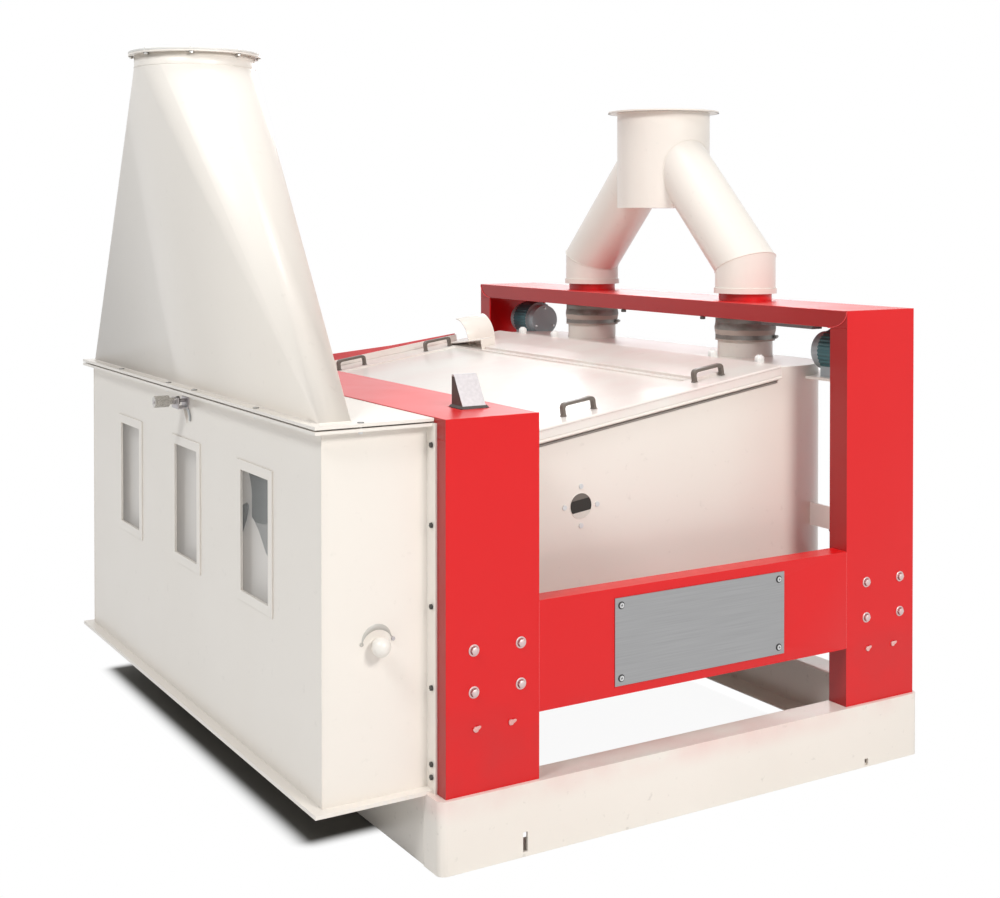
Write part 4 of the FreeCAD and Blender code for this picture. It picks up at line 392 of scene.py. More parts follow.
def joined(name, pieces):
    """Like small pieces made one object, so that they ride together."""
    meshes = bmesh.new()
    for part in pieces:
        meshes.from_mesh(part.data)
    whole = bpy.data.objects.new(name, bpy.data.meshes.new(name))
    bpy.context.scene.collection.objects.link(whole)
    for material in pieces[0].data.materials:
        whole.data.materials.append(material)
    meshes.to_mesh(whole.data)
    meshes.free()
    for part in pieces:
        bpy.data.objects.remove(part)
    return whole


ZINC = metal("zinc_overspray", (0.74, 0.70, 0.68), 0.34, scratches=0.1, overspray=(0.72, 0.42, 0.42))
dress("column_bolts", ZINC, 0.0)
COLUMN_MIDDLES = (OUTLET + 0.134, 0.8515)
WASHER = [(0.0085, 0.0), (0.0150, 0.0), (0.0150, 0.0014), (0.0138, 0.0026), (0.0085, 0.0026)]
GROOVE = [(0.0088, 0.0026), (0.0112, 0.0026), (0.0112, 0.0031), (0.0088, 0.0031)]
# A dark red ring between each washer and its crown is painted shade.
BOLT_GAP_SHADE = enamel("bolt_gap_painted_shade", (0.30, 0.10, 0.10), (0.24, 0.07, 0.07), roughness=0.5, peel=0.2)
BOLT_CROWN = [(0.0, 0.0098), (0.0050, 0.0098), (0.0088, 0.0080), (0.0088, 0.0030), (0.0, 0.0030)]
for side_name, side in (("front", -1.0), ("back", 1.0)):
    washers, gap_shades = [], []
    for middle in COLUMN_MIDDLES:
        for across in (-1, 1):
            for up in (-1, 1):
                spot = (middle + 0.012 + across * 0.0675, side * 1.047, 0.483 + up * 0.0515)
                washers.append(turned("washer", WASHER, spot, (0.0, side, 0.0), ZINC, steps=36))
                washers.append(turned("crown", BOLT_CROWN, spot, (0.0, side, 0.0), ZINC, steps=24))
                gap_shades.append(turned("groove", GROOVE, spot, (0.0, side, 0.0), BOLT_GAP_SHADE, steps=36))
    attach(joined("column_washers_" + side_name, washers), "frame")
    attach(joined("column_bolt_gap_shades_" + side_name, gap_shades), "frame")

# Each stud's painted end is chipped down to the pink primer, with a torn flake of paint beside it.
PRIMER = enamel("primer_chip", (0.80, 0.47, 0.44), (0.70, 0.33, 0.31), roughness=0.5, peel=0.4)
for side_name, side in (("front", -1.0), ("back", 1.0)):
    chips = []
    for middle in COLUMN_MIDDLES:
        for across in (-1, 1):
            chip = shape("chip", PRIMER)
            mesh = bmesh.new()
            spot = Vector((middle + across * 0.0505, side * 1.0505, 0.340))
            rim = []
            for step in range(22):
                turn = 2 * math.pi * step / 22
                tongue = 0.0060 * max(0.0, math.cos(turn - 0.45)) ** 6
                reach = 0.0062 + 0.0012 * math.sin(3 * turn + across) + tongue
                rim_point = Vector((reach * 1.25 * math.cos(turn), 0.0, reach * math.sin(turn)))
                rim.append(mesh.verts.new(spot + rim_point))
            crown = mesh.verts.new(spot + Vector((0.0, side * 0.0018, 0.0)))
            for step in range(22):
                mesh.faces.new((rim[step], rim[(step + 1) % 22], crown))
            mesh.faces.new(list(reversed(rim)))
            chips.append(fill(chip, mesh, 60.0))
    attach(joined("stud_chips_" + side_name, chips), "frame")

# The nameplate is a bare sheet of brushed stainless steel, its grain running along the beam.
# Four small screws hold it to the front side beam, each in a dark ring, with its cross recess painted black as
# painted shade.
BRUSHED = metal("brushed_steel", (0.40, 0.40, 0.405), 0.32, scratches=0.5, grain=(1.2, 90.0, 90.0))
dress("nameplate", BRUSHED, 0.0006)
SCREW = metal("screw_steel", (0.72, 0.72, 0.72), 0.29)
dress("nameplate_screws", SCREW, 0.0)
BLACK_RUBBER_AND_SHADE = enamel("black_rubber", (0.022, 0.022, 0.023), (0.035, 0.034, 0.033), roughness=0.62, peel=0.3)
RING = [(0.0072, 0.0), (0.0100, 0.0), (0.0100, 0.0008), (0.0090, 0.0014), (0.0072, 0.0014)]
rings, recess_shades = [], []
for across in (-1, 1):
    for up in (-1, 1):
        spot = (0.1895 + across * 0.269, -1.050, 0.491 + up * 0.095)
        rings.append(turned("ring", RING, spot, FRONTWARD, BLACK_RUBBER_AND_SHADE, steps=32))
        # Two thin black bars over each head paint the shade of its cross recess.
        for arm in (0.0, 90.0):
            slot = shape("slot", BLACK_RUBBER_AND_SHADE)
            mesh = bmesh.new()
            bmesh.ops.create_cube(mesh, size=1.0)
            bmesh.ops.scale(mesh, vec=(0.0076, 0.0006, 0.0013), verts=mesh.verts)
            bmesh.ops.rotate(mesh, matrix=Matrix.Rotation(math.radians(arm + 20.0), 3, "Y"), verts=mesh.verts)
            bmesh.ops.translate(mesh, vec=Vector(spot) + Vector((0.0, -0.0030, 0.0)), verts=mesh.verts)
            recess_shades.append(fill(slot, mesh))
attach(joined("nameplate_screw_rings", rings), "frame")
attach(joined("nameplate_screw_slot_shades", recess_shades), "frame")

# A folded bracket inside each column carries a hollow rubber spring with a waist.
# The springs are natural black rubber, bonded to a steel disc at each end.
CREAM = enamel("cream_enamel", CREAM_COLOUR, CREAM_SHADE, grime=0.18)
dress("spring_brackets", RED, 0.0)
SPRING_STEEL = metal("spring_plate_steel", (0.50, 0.50, 0.50), 0.4)
for end_name, end_x in (("outlet", COLUMN_MIDDLES[0]), ("inlet", COLUMN_MIDDLES[1])):
    for side_name, side in (("front", -1.0), ("back", 1.0)):
        foot = (end_x, side * 0.890, 0.5602)
        profile = [(0.0125, 0.0), (0.0395, 0.0)]
        for step in range(13):
            turn = math.pi * step / 12
            profile.append((0.0395 - 0.0135 * math.sin(turn), 0.006 + 0.084 * step / 12))
        profile += [(0.0395, 0.0956), (0.0125, 0.0956)]
        spring = turned("spring_%s_%s" % (end_name, side_name), profile, foot, UPWARD, BLACK_RUBBER_AND_SHADE, 56)
        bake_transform(spring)
        if (end_name, side_name) == ("outlet", "front"):
            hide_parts("rubber_springs")
        for cup_name, low, body in (("lower", 0.5602, "frame"), ("upper", 0.6530, "sieve")):
            cup = turned("spring_cup_%s_%s_%s" % (cup_name, end_name, side_name),
                         [(0.030, 0.0), (0.0400, 0.0), (0.0400, 0.0028), (0.030, 0.0028)],
                         (end_x, side * 0.890, low), UPWARD, SPRING_STEEL, 48)
            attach(cup, body)

# The sieve housing is a welded box of sheet with rounded corners at the inlet end, in the cream enamel.
# Ears on its sides stand on the springs, and folded stop plates of grey sheet rise through the portal.
dress("sieve_housing", CREAM, 0.0)
dress("housing_brackets", CREAM, 0.0)
dress("inlet_spouts", CREAM, 0.0)
dress("fines_spout", CREAM, 0.0)
dress("lid_rails", CREAM, 0.001)
GREY_SHEET = metal("grey_sheet", (0.56, 0.53, 0.54), 0.42, scratches=0.1)
dress("stop_plates", GREY_SHEET, 0.0012)
dress("hatch_screws", SCREW, 0.0)
# This dark finish serves for dark nuts, bolts and the gasket, and also for plates of painted shade.
DARK = enamel("unpainted_dark_and_painted_shade", (0.050, 0.048, 0.045), (0.075, 0.070, 0.064), roughness=0.6, peel=0.2)
HATCH_X, HATCH_Z, HATCH_ROUND, HATCH_WALL = OUTLET + 0.559, 0.800, 0.0355, -0.8022
# The round sight opening is drawn flat on the wall: a dark disc of painted shade for its depth, a grey band of
# painted shade at its top and a painted lit deck low in it.
HATCH_GREY = enamel("hatch_upper_shade", (0.16, 0.145, 0.125), (0.12, 0.105, 0.09), roughness=0.5, peel=0.1)
HATCH_PAINTED_DECK = enamel("hatch_deck_painted_lit", (0.70, 0.67, 0.61), (0.63, 0.60, 0.55), roughness=0.5, peel=0.1)
HATCH_PAINTED_DEPTH = enamel("hatch_depth_painted_shade", (0.022, 0.019, 0.015), (0.018, 0.015, 0.012), roughness=0.7, peel=0.1)


def hatch_slice(name, start, end, lift, finish):
    """The part of the round sight opening between two bearings, closed by a straight chord."""
    piece = shape(name, finish)
    cut = bmesh.new()
    corners = []
    for step in range(33):
        turn = math.radians(start + (end - start) * step / 32)
        corners.append(cut.verts.new((HATCH_X + HATCH_ROUND * math.cos(turn), HATCH_WALL - lift,
                                      HATCH_Z + HATCH_ROUND * math.sin(turn))))
    cut.faces.new(corners)
    fill(piece, cut)
    plate = piece.modifiers.new("sheet", "SOLIDIFY")
    plate.thickness = 0.0003
    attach(piece, "sieve")


hatch_slice("hatch_depth_painted_shade", 0.0, 348.75, 0.0002, HATCH_PAINTED_DEPTH)
hatch_slice("hatch_upper_shade", 38.0, 158.0, 0.0005, HATCH_GREY)
hatch_slice("hatch_deck_painted_lit", 215.0, 340.0, 0.0005, HATCH_PAINTED_DECK)
hatch_rim = [(HATCH_X + HATCH_ROUND * math.cos(math.radians(4.0 * step)), HATCH_WALL - 0.0004,
              HATCH_Z + HATCH_ROUND * math.sin(math.radians(4.0 * step))) for step in range(90)]
bead("hatch_rim", hatch_rim, 0.0009, CREAM, "sieve", closed=True)
screw_rings = []
for bearing in (0.0, 90.0, 180.0, 270.0):
    turn = math.radians(bearing)
    spot = (HATCH_X + 0.054 * math.cos(turn), -0.8020, HATCH_Z + 0.054 * math.sin(turn))
    screw_rings.append(turned("ring", [(0.0040, 0.0), (0.0062, 0.0), (0.0060, 0.0007), (0.0040, 0.0007)],
                              spot, FRONTWARD, HATCH_GREY, 24))
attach(joined("hatch_screw_rings", screw_rings), "sieve")
STOP_X = OUTLET + 0.168
for side_name, side in (("front", -1.0), ("back", 1.0)):
    # A thin dark plate on the outlet side of each stop plate is painted shade, where the folded plate is open.
    open_side_shade = shape("stop_open_side_shade_" + side_name, DARK)
    mesh = bmesh.new()
    near, far_side = side * 0.8945, side * 0.8375
    outline = [(near, 1.060), (near, 1.105), (side * 0.851, 1.184), (far_side, 1.184), (far_side, 1.060)]
    faces = []
    for x in (STOP_X - 0.0346, STOP_X - 0.0341):
        faces.append([mesh.verts.new((x, y, z)) for y, z in outline])
    mesh.faces.new(faces[0])
    mesh.faces.new(list(reversed(faces[1])))
    for step in range(5):
        following = (step + 1) % 5
        mesh.faces.new((faces[0][step], faces[0][following], faces[1][following], faces[1][step]))
    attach(fill(open_side_shade, mesh), "sieve")
    skirt = shape("stop_seal_" + side_name, DARK)
    mesh = bmesh.new()
    loops = []
    for reach_x, reach_y, z in ((0.0350, 0.0320, 1.1056), (0.0400, 0.0365, 1.1056), (0.0350, 0.0320, 1.1120)):
        loops.append([mesh.verts.new((STOP_X + a * reach_x, side * 0.866 + b * reach_y, z))
                      for a, b in ((-1, -1), (1, -1), (1, 1), (-1, 1))])
    for lower, upper in ((loops[0], loops[1]), (loops[1], loops[2]), (loops[2], loops[0])):
        for step in range(4):
            mesh.faces.new((lower[step], lower[(step + 1) % 4], upper[(step + 1) % 4], upper[step]))
    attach(fill(skirt, mesh), "sieve")

# The lid is a pressed tray with a rolled front edge, and a second roll stiffens the rail below it.
# It lies on the slope of the housing; a raised edge strip runs along its back, with a red seal on top.
SLOPE = math.radians(8.47)
LID_FOOT = Vector((OUTLET + 0.285, 0.0, 0.936 + 0.260 * math.tan(SLOPE)))
LID_LENGTH = 0.990 / math.cos(SLOPE) - 0.001
# The lid's cream turns pink towards its upper end: a painted reflection of the red frame above it.
LID_CREAM = enamel("lid_enamel", (0.845, 0.805, 0.755), (0.815, 0.770, 0.720), roughness=0.30, grime=0.25,
                   overspray_and_painted_light={"colour": (0.80, 0.55, 0.53), "strength": 0.45, "bands": (("Z", 1.00, 1.10),)})
dress("sieve_lid", LID_CREAM, 0.003)
dress("lid_hood", CREAM, 0.0008)


def on_lid(along, y, height=0.0):
    """A point of the sloping lid: along the slope, across the machine and square off the slope."""
    return (LID_FOOT.x + along * math.cos(SLOPE) - height * math.sin(SLOPE), y,
            LID_FOOT.z + along * math.sin(SLOPE) + height * math.cos(SLOPE))


def rolled_edge(name, start, end, radius, finish, body):
    """A rolled sheet edge between two points, its ends capped."""
    run = bpy.data.curves.new(name, "CURVE")
    run.dimensions = "3D"
    run.bevel_depth = radius
    run.bevel_resolution = 4
    run.use_fill_caps = True
    line = run.splines.new("POLY")
    points = between(start, end, 12)
    line.points.add(len(points) - 1)
    for number, point in enumerate(points):
        line.points[number].co = (*point, 1.0)
    piece = bpy.data.objects.new(name, run)
    bpy.context.scene.collection.objects.link(piece)
    run.materials.append(finish)
    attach(piece, body)
    return piece


# A dark grey-brown cord under each rail roll is painted shade, where the rail overhangs.
RAIL_PAINTED_SHADE = enamel("rail_seal_grey", (0.27, 0.245, 0.22), (0.22, 0.20, 0.18), roughness=0.5, peel=0.2)
for side_name, side in (("front", -1.0), ("back", 1.0)):
    rolled_edge("rail_seal_" + side_name, on_lid(0.012, side * 0.8045, -0.0185),
                on_lid(LID_LENGTH - 0.012, side * 0.8045, -0.0185), 0.0035, RAIL_PAINTED_SHADE, "sieve")
    rolled_edge("lid_roll_" + side_name, on_lid(0.004, side * 0.8165, 0.0262),
                on_lid(LID_LENGTH - 0.004, side * 0.8165, 0.0262), 0.0045, LID_CREAM, "lid")
    rolled_edge("rail_roll_" + side_name, on_lid(0.004, side * 0.8165, -0.0060),
                on_lid(LID_LENGTH - 0.004, side * 0.8165, -0.0060), 0.0040, CREAM, "sieve")

strip = shape("lid_back_strip", LID_CREAM)
mesh = bmesh.new()
STRIP_START, STRIP_END = 0.020, 0.800
sections = []
for along in (STRIP_START, STRIP_END):
    sections.append([mesh.verts.new(on_lid(along, y, height)) for y, height in
                     ((0.8100, 0.0304), (0.8165, 0.0304), (0.8165, 0.0540), (0.8100, 0.0540))])
for step in range(4):
    following = (step + 1) % 4
    mesh.faces.new((sections[0][step], sections[0][following], sections[1][following], sections[1][step]))
mesh.faces.new(list(reversed(sections[0])))
mesh.faces.new(sections[1])
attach(rounded(fill(strip, mesh), 0.0015), "lid")
SEAL_RED = enamel("seal_red", (0.68, 0.10, 0.11), (0.60, 0.07, 0.08), roughness=0.45, peel=0.2)
seal = shape("lid_back_seal", SEAL_RED)
mesh = bmesh.new()
sections = []
for along, rise in ((STRIP_START, 0.040), (0.280, 0.026), (0.520, 0.011), (STRIP_END - 0.005, 0.005)):
    sections.append([mesh.verts.new(on_lid(along, y, height)) for y, height in
                     ((0.8115, 0.0535), (0.8150, 0.0535), (0.8150, 0.0535 + rise), (0.8115, 0.0535 + rise))])
for first, second in zip(sections, sections[1:]):
    for step in range(4):
        mesh.faces.new((first[step], first[(step + 1) % 4], second[(step + 1) % 4], second[step]))
mesh.faces.new(list(reversed(sections[0])))
mesh.faces.new(sections[-1])
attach(rounded(fill(seal, mesh), 0.001), "lid")

# Four bridge handles of grey flat bar are screwed to the lid, each end spread into a small foot.
HANDLE_GREY = enamel("handle_grey", (0.155, 0.128, 0.108), (0.120, 0.100, 0.085), roughness=0.34, peel=0.15)


def handle(name, along, y):
    """A bent bar handle standing on the lid."""
    piece = shape(name, HANDLE_GREY)
    floor_height, rise, half, bar, bend_radius, steps = 0.0303, 0.0378, 0.0560, 0.0095, 0.014, 6
    outer = [(-half - 0.004, 0.0), (-half, 0.004)]
    for step in range(steps + 1):
        turn = math.radians(180.0 - 90.0 * step / steps)
        outer.append((-half + bend_radius + bend_radius * math.cos(turn),
                      rise - bend_radius + bend_radius * math.sin(turn)))
    inner = [(-half + bar + 0.003, 0.0), (-half + bar, 0.004)]
    inside = bend_radius - 0.005
    for step in range(steps + 1):
        turn = math.radians(180.0 - 90.0 * step / steps)
        inner.append((-half + bar + inside + inside * math.cos(turn),
                      rise - bar - inside + inside * math.sin(turn)))
    path = outer + [(-u, w) for u, w in reversed(outer)]
    lining = inner + [(-u, w) for u, w in reversed(inner)]
    mesh = bmesh.new()
    sides = []
    for across in (-0.0088, 0.0088):
        sides.append(([mesh.verts.new(on_lid(along + u, y + across, floor_height + w)) for u, w in path],
                      [mesh.verts.new(on_lid(along + u, y + across, floor_height + w)) for u, w in lining]))
    count = len(path)
    for step in range(count - 1):
        (outer_a, inner_a), (outer_b, inner_b) = sides
        mesh.faces.new((outer_a[step], outer_a[step + 1], outer_b[step + 1], outer_b[step]))
        mesh.faces.new((inner_a[step], inner_b[step], inner_b[step + 1], inner_a[step + 1]))
        mesh.faces.new((outer_a[step], inner_a[step], inner_a[step + 1], outer_a[step + 1]))
        mesh.faces.new((outer_b[step], outer_b[step + 1], inner_b[step + 1], inner_b[step]))
    for step in (0, count - 1):
        mesh.faces.new((sides[0][0][step], sides[1][0][step], sides[1][1][step], sides[0][1][step]))
    fill(piece, mesh, 30.0)
    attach(rounded(piece, 0.0022, 3, 40.0), "lid")
    return piece


HANDLES = (("handle_first_front", 0.305, -0.752), ("handle_first_back", 0.305, 0.724),
           ("handle_second_front", 0.765, -0.752), ("handle_second_back", 0.660, 0.724))
for handle_name, handle_x, handle_y in HANDLES:
    grip = handle(handle_name, handle_x / math.cos(SLOPE), handle_y)
    if handle_name == "handle_first_front":
        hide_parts("lid_handles")

# White plastic knobs with eight flutes turn on studs beside the inlet edge of the lid.
WHITE_PLASTIC = enamel("white_plastic", (0.88, 0.88, 0.86), (0.83, 0.83, 0.81), roughness=0.38, peel=0.05)
dress("hold_down_studs", SCREW, 0.0)
for number, knob_y in enumerate((-0.690, -0.465, 0.465, 0.690)):
    knob = shape("hold_down_knob_%d" % number, WHITE_PLASTIC)
    mesh = bmesh.new()
    levels = ((0.0004, 0.0100), (0.0004, 0.0138), (0.0030, 0.0150), (0.0185, 0.0150), (0.0225, 0.0138),
              (0.0240, 0.0110), (0.0240, 0.0096), (0.0268, 0.0092), (0.0278, 0.0062))
    rims = []
    for height, reach in levels:
        ring_points = []
        for step in range(64):
            turn = 2 * math.pi * step / 64
            flute = 0.0014 * max(0.0, math.cos(8 * turn)) if reach > 0.0125 else 0.0
            ring_points.append(mesh.verts.new(((reach - flute) * math.cos(turn) + 0.6975,
                                               (reach - flute) * math.sin(turn) + knob_y, 1.145 + height)))
        rims.append(ring_points)
    for lower, upper in zip(rims, rims[1:]):
        for step in range(64):
            mesh.faces.new((lower[step], lower[(step + 1) % 64], upper[(step + 1) % 64], upper[step]))
    mesh.faces.new(list(reversed(rims[0])))
    mesh.faces.new(rims[-1])
    fill(knob, mesh, 35.0)
    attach(knob, "hold_down_%d" % number)
    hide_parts("hold_down_%d_knob" % number)

# Two sieve decks slide on rails inside the housing: a painted frame under a perforated steel sheet.


def perforated(name, pitch, hole):
    """Zinc plated sheet whose round holes, in rows, are painted in as dark dots of shade."""
    finish = metal(name, (0.66, 0.66, 0.64), 0.32)
    nodes, links = finish.node_tree.nodes, finish.node_tree.links
    shader = nodes["Principled BSDF"]
    place = nodes.new("ShaderNodeTexCoord")
    scale = nodes.new("ShaderNodeMapping")
    scale.inputs["Scale"].default_value = (1.0 / pitch, 1.0 / pitch, 0.0)
    links.new(place.outputs["Object"], scale.inputs["Vector"])
    cells = nodes.new("ShaderNodeTexVoronoi")
    cells.inputs["Scale"].default_value = 1.0
    cells.inputs["Randomness"].default_value = 0.0
    links.new(scale.outputs["Vector"], cells.inputs["Vector"])
    punched = nodes.new("ShaderNodeMapRange")
    punched.inputs["From Min"].default_value = hole / pitch * 0.48
    punched.inputs["From Max"].default_value = hole / pitch * 0.52
    links.new(cells.outputs["Distance"], punched.inputs["Value"])
    hole_shade = nodes.new("ShaderNodeMix")
    hole_shade.data_type = "RGBA"
    hole_shade.inputs["A"].default_value = (0.03, 0.03, 0.03, 1.0)
    links.new(punched.outputs["Result"], hole_shade.inputs["Factor"])
    old = shader.inputs["Base Color"].links[0].from_socket
    links.new(old, hole_shade.inputs["B"])
    links.new(hole_shade.outputs["Result"], shader.inputs["Base Color"])
    return finish


dress("upper_sieve_frame", CREAM, 0.001)
dress("lower_sieve_frame", CREAM, 0.001)
dress("deck_rails", CREAM, 0.001)
dress("upper_sieve_sheet", perforated("coarse_perforated_sheet", 0.014, 0.009), 0.0)
dress("lower_sieve_sheet", perforated("fine_perforated_sheet", 0.005, 0.0026), 0.0)

# A vibration motor on each shelf: a ribbed cast barrel in teal enamel between two grey-blue cups.
# The cups cover the weights on the shaft and are held by small socket screws.
TEAL = enamel("motor_teal", (0.045, 0.150, 0.165), (0.030, 0.115, 0.130), roughness=0.36, peel=0.3)
CUP_BLUE = enamel("motor_cup_grey_blue", (0.42, 0.47, 0.49), (0.36, 0.41, 0.43), roughness=0.34, peel=0.12)
MOTOR_X, MOTOR_Z = OUTLET + 1.466, 1.188
dress("motor_bodies", CUP_BLUE, 0.0)
dress("motor_rotor_front", SPRING_STEEL, 0.0)
dress("motor_rotor_back", SPRING_STEEL, 0.0)
for side_name, side in (("front", -1.0), ("back", 1.0)):
    ribs = shape("motor_ribs_" + side_name, TEAL)
    mesh = bmesh.new()
    count, half_length = 72, 0.0446
    rims = []
    for reach, shrink in ((-half_length, 0.004), (-half_length + 0.004, 0.0), (half_length - 0.004, 0.0),
                          (half_length, 0.004)):
        ring_points = []
        for step in range(count * 4):
            turn = 2 * math.pi * step / (count * 4)
            radius = 0.0684 + (0.0016 if (step // 4) % 2 else 0.0) - shrink * 0.2
            ring_points.append(mesh.verts.new((MOTOR_X + radius * math.cos(turn), side * 0.880 + reach,
                                               MOTOR_Z + radius * math.sin(turn))))
        rims.append(ring_points)
    total = count * 4
    for lower, upper in zip(rims, rims[1:]):
        for step in range(total):
            mesh.faces.new((lower[step], lower[(step + 1) % total], upper[(step + 1) % total], upper[step]))
    for rim in (rims[0], rims[-1]):
        inner_ring = [mesh.verts.new((MOTOR_X + 0.0581 * math.cos(2 * math.pi * step / total), rim[0].co.y,
                                      MOTOR_Z + 0.0581 * math.sin(2 * math.pi * step / total)))
                      for step in range(total)]
        for step in range(total):
            following = (step + 1) % total
            mesh.faces.new((rim[step], rim[following], inner_ring[following], inner_ring[step]))
    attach(fill(ribs, mesh, 50.0), "sieve")
    screws = []
    for end_name, end_y in (("outer", side * 0.9632), ("inner", side * 0.7968)):
        direction = (0.0, 1.0 if end_y > side * 0.88 else -1.0, 0.0)
        if (end_y - side * 0.88) < 0:
            direction = (0.0, -1.0, 0.0)
        for step in range(3):
            turn = math.radians(90.0 + 120.0 * step)
            spot = (MOTOR_X + 0.046 * math.cos(turn), end_y, MOTOR_Z + 0.046 * math.sin(turn))
            screws.append(turned("screw", [(0.0, 0.0), (0.0045, 0.0), (0.0045, 0.0030), (0.0035, 0.0040),
                                           (0.0020, 0.0040), (0.0020, 0.0022), (0.0, 0.0022)],
                                 spot, direction, SCREW, 20))
    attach(joined("motor_cup_screws_" + side_name, screws), "sieve")

# The inlet pipe is a wye of rolled sheet: one wide trunk with a flange and two mitred legs.
# Every joint is run round with weld and painted over; a collar and a red neck carry each leg.
for pipe in ("wye_trunk", "wye_leg_front", "wye_leg_back", "leg_collars"):
    dress(pipe, CREAM, 0.0)
CREAM_WELD = enamel("cream_weld", (0.84, 0.785, 0.72), (0.78, 0.72, 0.65), roughness=0.32, peel=0.3)
PIPE_X, PIPE_HALF = OUTLET + 1.450, 0.4415
MITRE_Z = 1.325 + 0.028 + 0.090
TRUNK_AXIS_Z = MITRE_Z + PIPE_HALF
for side_name, side in (("front", -1.0), ("back", 1.0)):
    mitre, saddle = [], []
    for step in range(96):
        turn = 2 * math.pi * step / 96
        east, out = 0.0984 * math.cos(turn), 0.0984 * math.sin(turn)
        rise = math.tan(math.radians(22.5)) * out * side * side
        mitre.append((PIPE_X + east, side * (PIPE_HALF + out), MITRE_Z + rise))
        east, up = 0.0984 * math.cos(turn), 0.0984 * math.sin(turn)
        reach = math.sqrt(max(0.0, 0.1625 ** 2 - east ** 2))
        drop = up * math.sqrt(2.0)
        saddle.append((PIPE_X + east, side * reach, TRUNK_AXIS_Z - reach + drop))
    bead("mitre_weld_" + side_name, mitre, 0.0016, CREAM_WELD, "frame", closed=True)
    turn_first = min(range(96), key=lambda step: saddle[step][2])
    ordered = [saddle[(turn_first + step) % 96] for step in range(96)]
    ordered = [point for point in ordered if point[2] > 1.631]
    bead("saddle_weld_" + side_name, ordered, 0.0018, CREAM_WELD, "frame")
    rim_line = [(PIPE_X + 0.0985 * math.cos(2 * math.pi * step / 96),
                 side * PIPE_HALF + 0.0985 * math.sin(2 * math.pi * step / 96), 1.3660) for step in range(96)]
    bead("collar_weld_" + side_name, rim_line, 0.0014, CREAM_WELD, "frame", closed=True)
seam_top = [(PIPE_X + 0.1625 * math.cos(2 * math.pi * step / 120),
             0.1625 * math.sin(2 * math.pi * step / 120), 1.9585)
            for step in range(120)]
bead("trunk_flange_weld", seam_top, 0.0016, CREAM_WELD, "frame", closed=True)
TRUNK_ROLL = [(0.1900, 0.0), (0.1936, 0.0), (0.1939, 0.0025), (0.1936, 0.0050), (0.1900, 0.0050),
              (0.1895, 0.0025)]
flange_lip = turned("trunk_flange_lip", TRUNK_ROLL, (PIPE_X, 0.0, 1.9600), UPWARD, CREAM, 96)
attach(flange_lip, "frame")

# A flexible sleeve of grey rubberised cloth hangs between the portal and each spout of the housing.
# Its worn lower cuff is beige, and two thin steel bands with tightening screws hold it.


def sleeve_cloth():
    """Grey rubberised cloth: weave, blotches of darker and lighter grey, a soft shine and a beige cuff below."""
    finish = bpy.data.materials.new("sleeve_cloth")
    finish.use_nodes = True
    nodes, links = finish.node_tree.nodes, finish.node_tree.links
    shader = nodes["Principled BSDF"]
    shader.inputs["Sheen Weight"].default_value = 0.25
    place = nodes.new("ShaderNodeTexCoord")
    axes = nodes.new("ShaderNodeSeparateXYZ")
    links.new(place.outputs["Object"], axes.inputs["Vector"])
    patches = nodes.new("ShaderNodeTexNoise")
    patches.inputs["Scale"].default_value = 11.0
    patches.inputs["Detail"].default_value = 4.0
    links.new(place.outputs["Object"], patches.inputs["Vector"])
    grey = nodes.new("ShaderNodeMix")
    grey.data_type = "RGBA"
    grey.inputs["A"].default_value = (0.145, 0.138, 0.120, 1.0)
    grey.inputs["B"].default_value = (0.285, 0.280, 0.262, 1.0)
    contrast = nodes.new("ShaderNodeMapRange")
    contrast.inputs["From Min"].default_value = 0.42
    contrast.inputs["From Max"].default_value = 0.60
    links.new(patches.outputs["Fac"], contrast.inputs["Value"])
    links.new(contrast.outputs["Result"], grey.inputs["Factor"])
    cuff_line = nodes.new("ShaderNodeMath")
    cuff_line.operation = "MULTIPLY_ADD"
    cuff_line.inputs[1].default_value = 0.012
    links.new(patches.outputs["Fac"], cuff_line.inputs[0])
    links.new(axes.outputs["Z"], cuff_line.inputs[2])
    cuff = nodes.new("ShaderNodeMapRange")
    cuff.inputs["From Min"].default_value = 1.2370
    cuff.inputs["From Max"].default_value = 1.2386
    links.new(cuff_line.outputs["Value"], cuff.inputs["Value"])
    both = nodes.new("ShaderNodeMix")
    both.data_type = "RGBA"
    both.inputs["A"].default_value = (0.46, 0.385, 0.335, 1.0)
    links.new(cuff.outputs["Result"], both.inputs["Factor"])
    links.new(grey.outputs["Result"], both.inputs["B"])
    links.new(both.outputs["Result"], shader.inputs["Base Color"])
    rough = nodes.new("ShaderNodeMapRange")
    rough.inputs["To Min"].default_value = 0.38
    rough.inputs["To Max"].default_value = 0.62
    links.new(patches.outputs["Fac"], rough.inputs["Value"])
    links.new(rough.outputs["Result"], shader.inputs["Roughness"])
    weave = nodes.new("ShaderNodeTexWave")
    weave.bands_direction = "Z"
    weave.inputs["Scale"].default_value = 260.0
    weave.inputs["Distortion"].default_value = 0.6
    links.new(place.outputs["Object"], weave.inputs["Vector"])
    relief = nodes.new("ShaderNodeBump")
    relief.inputs["Strength"].default_value = 0.25
    relief.inputs["Distance"].default_value = 0.0006
    links.new(weave.outputs["Fac"], relief.inputs["Height"])
    links.new(relief.outputs["Normal"], shader.inputs["Normal"])
    return finish


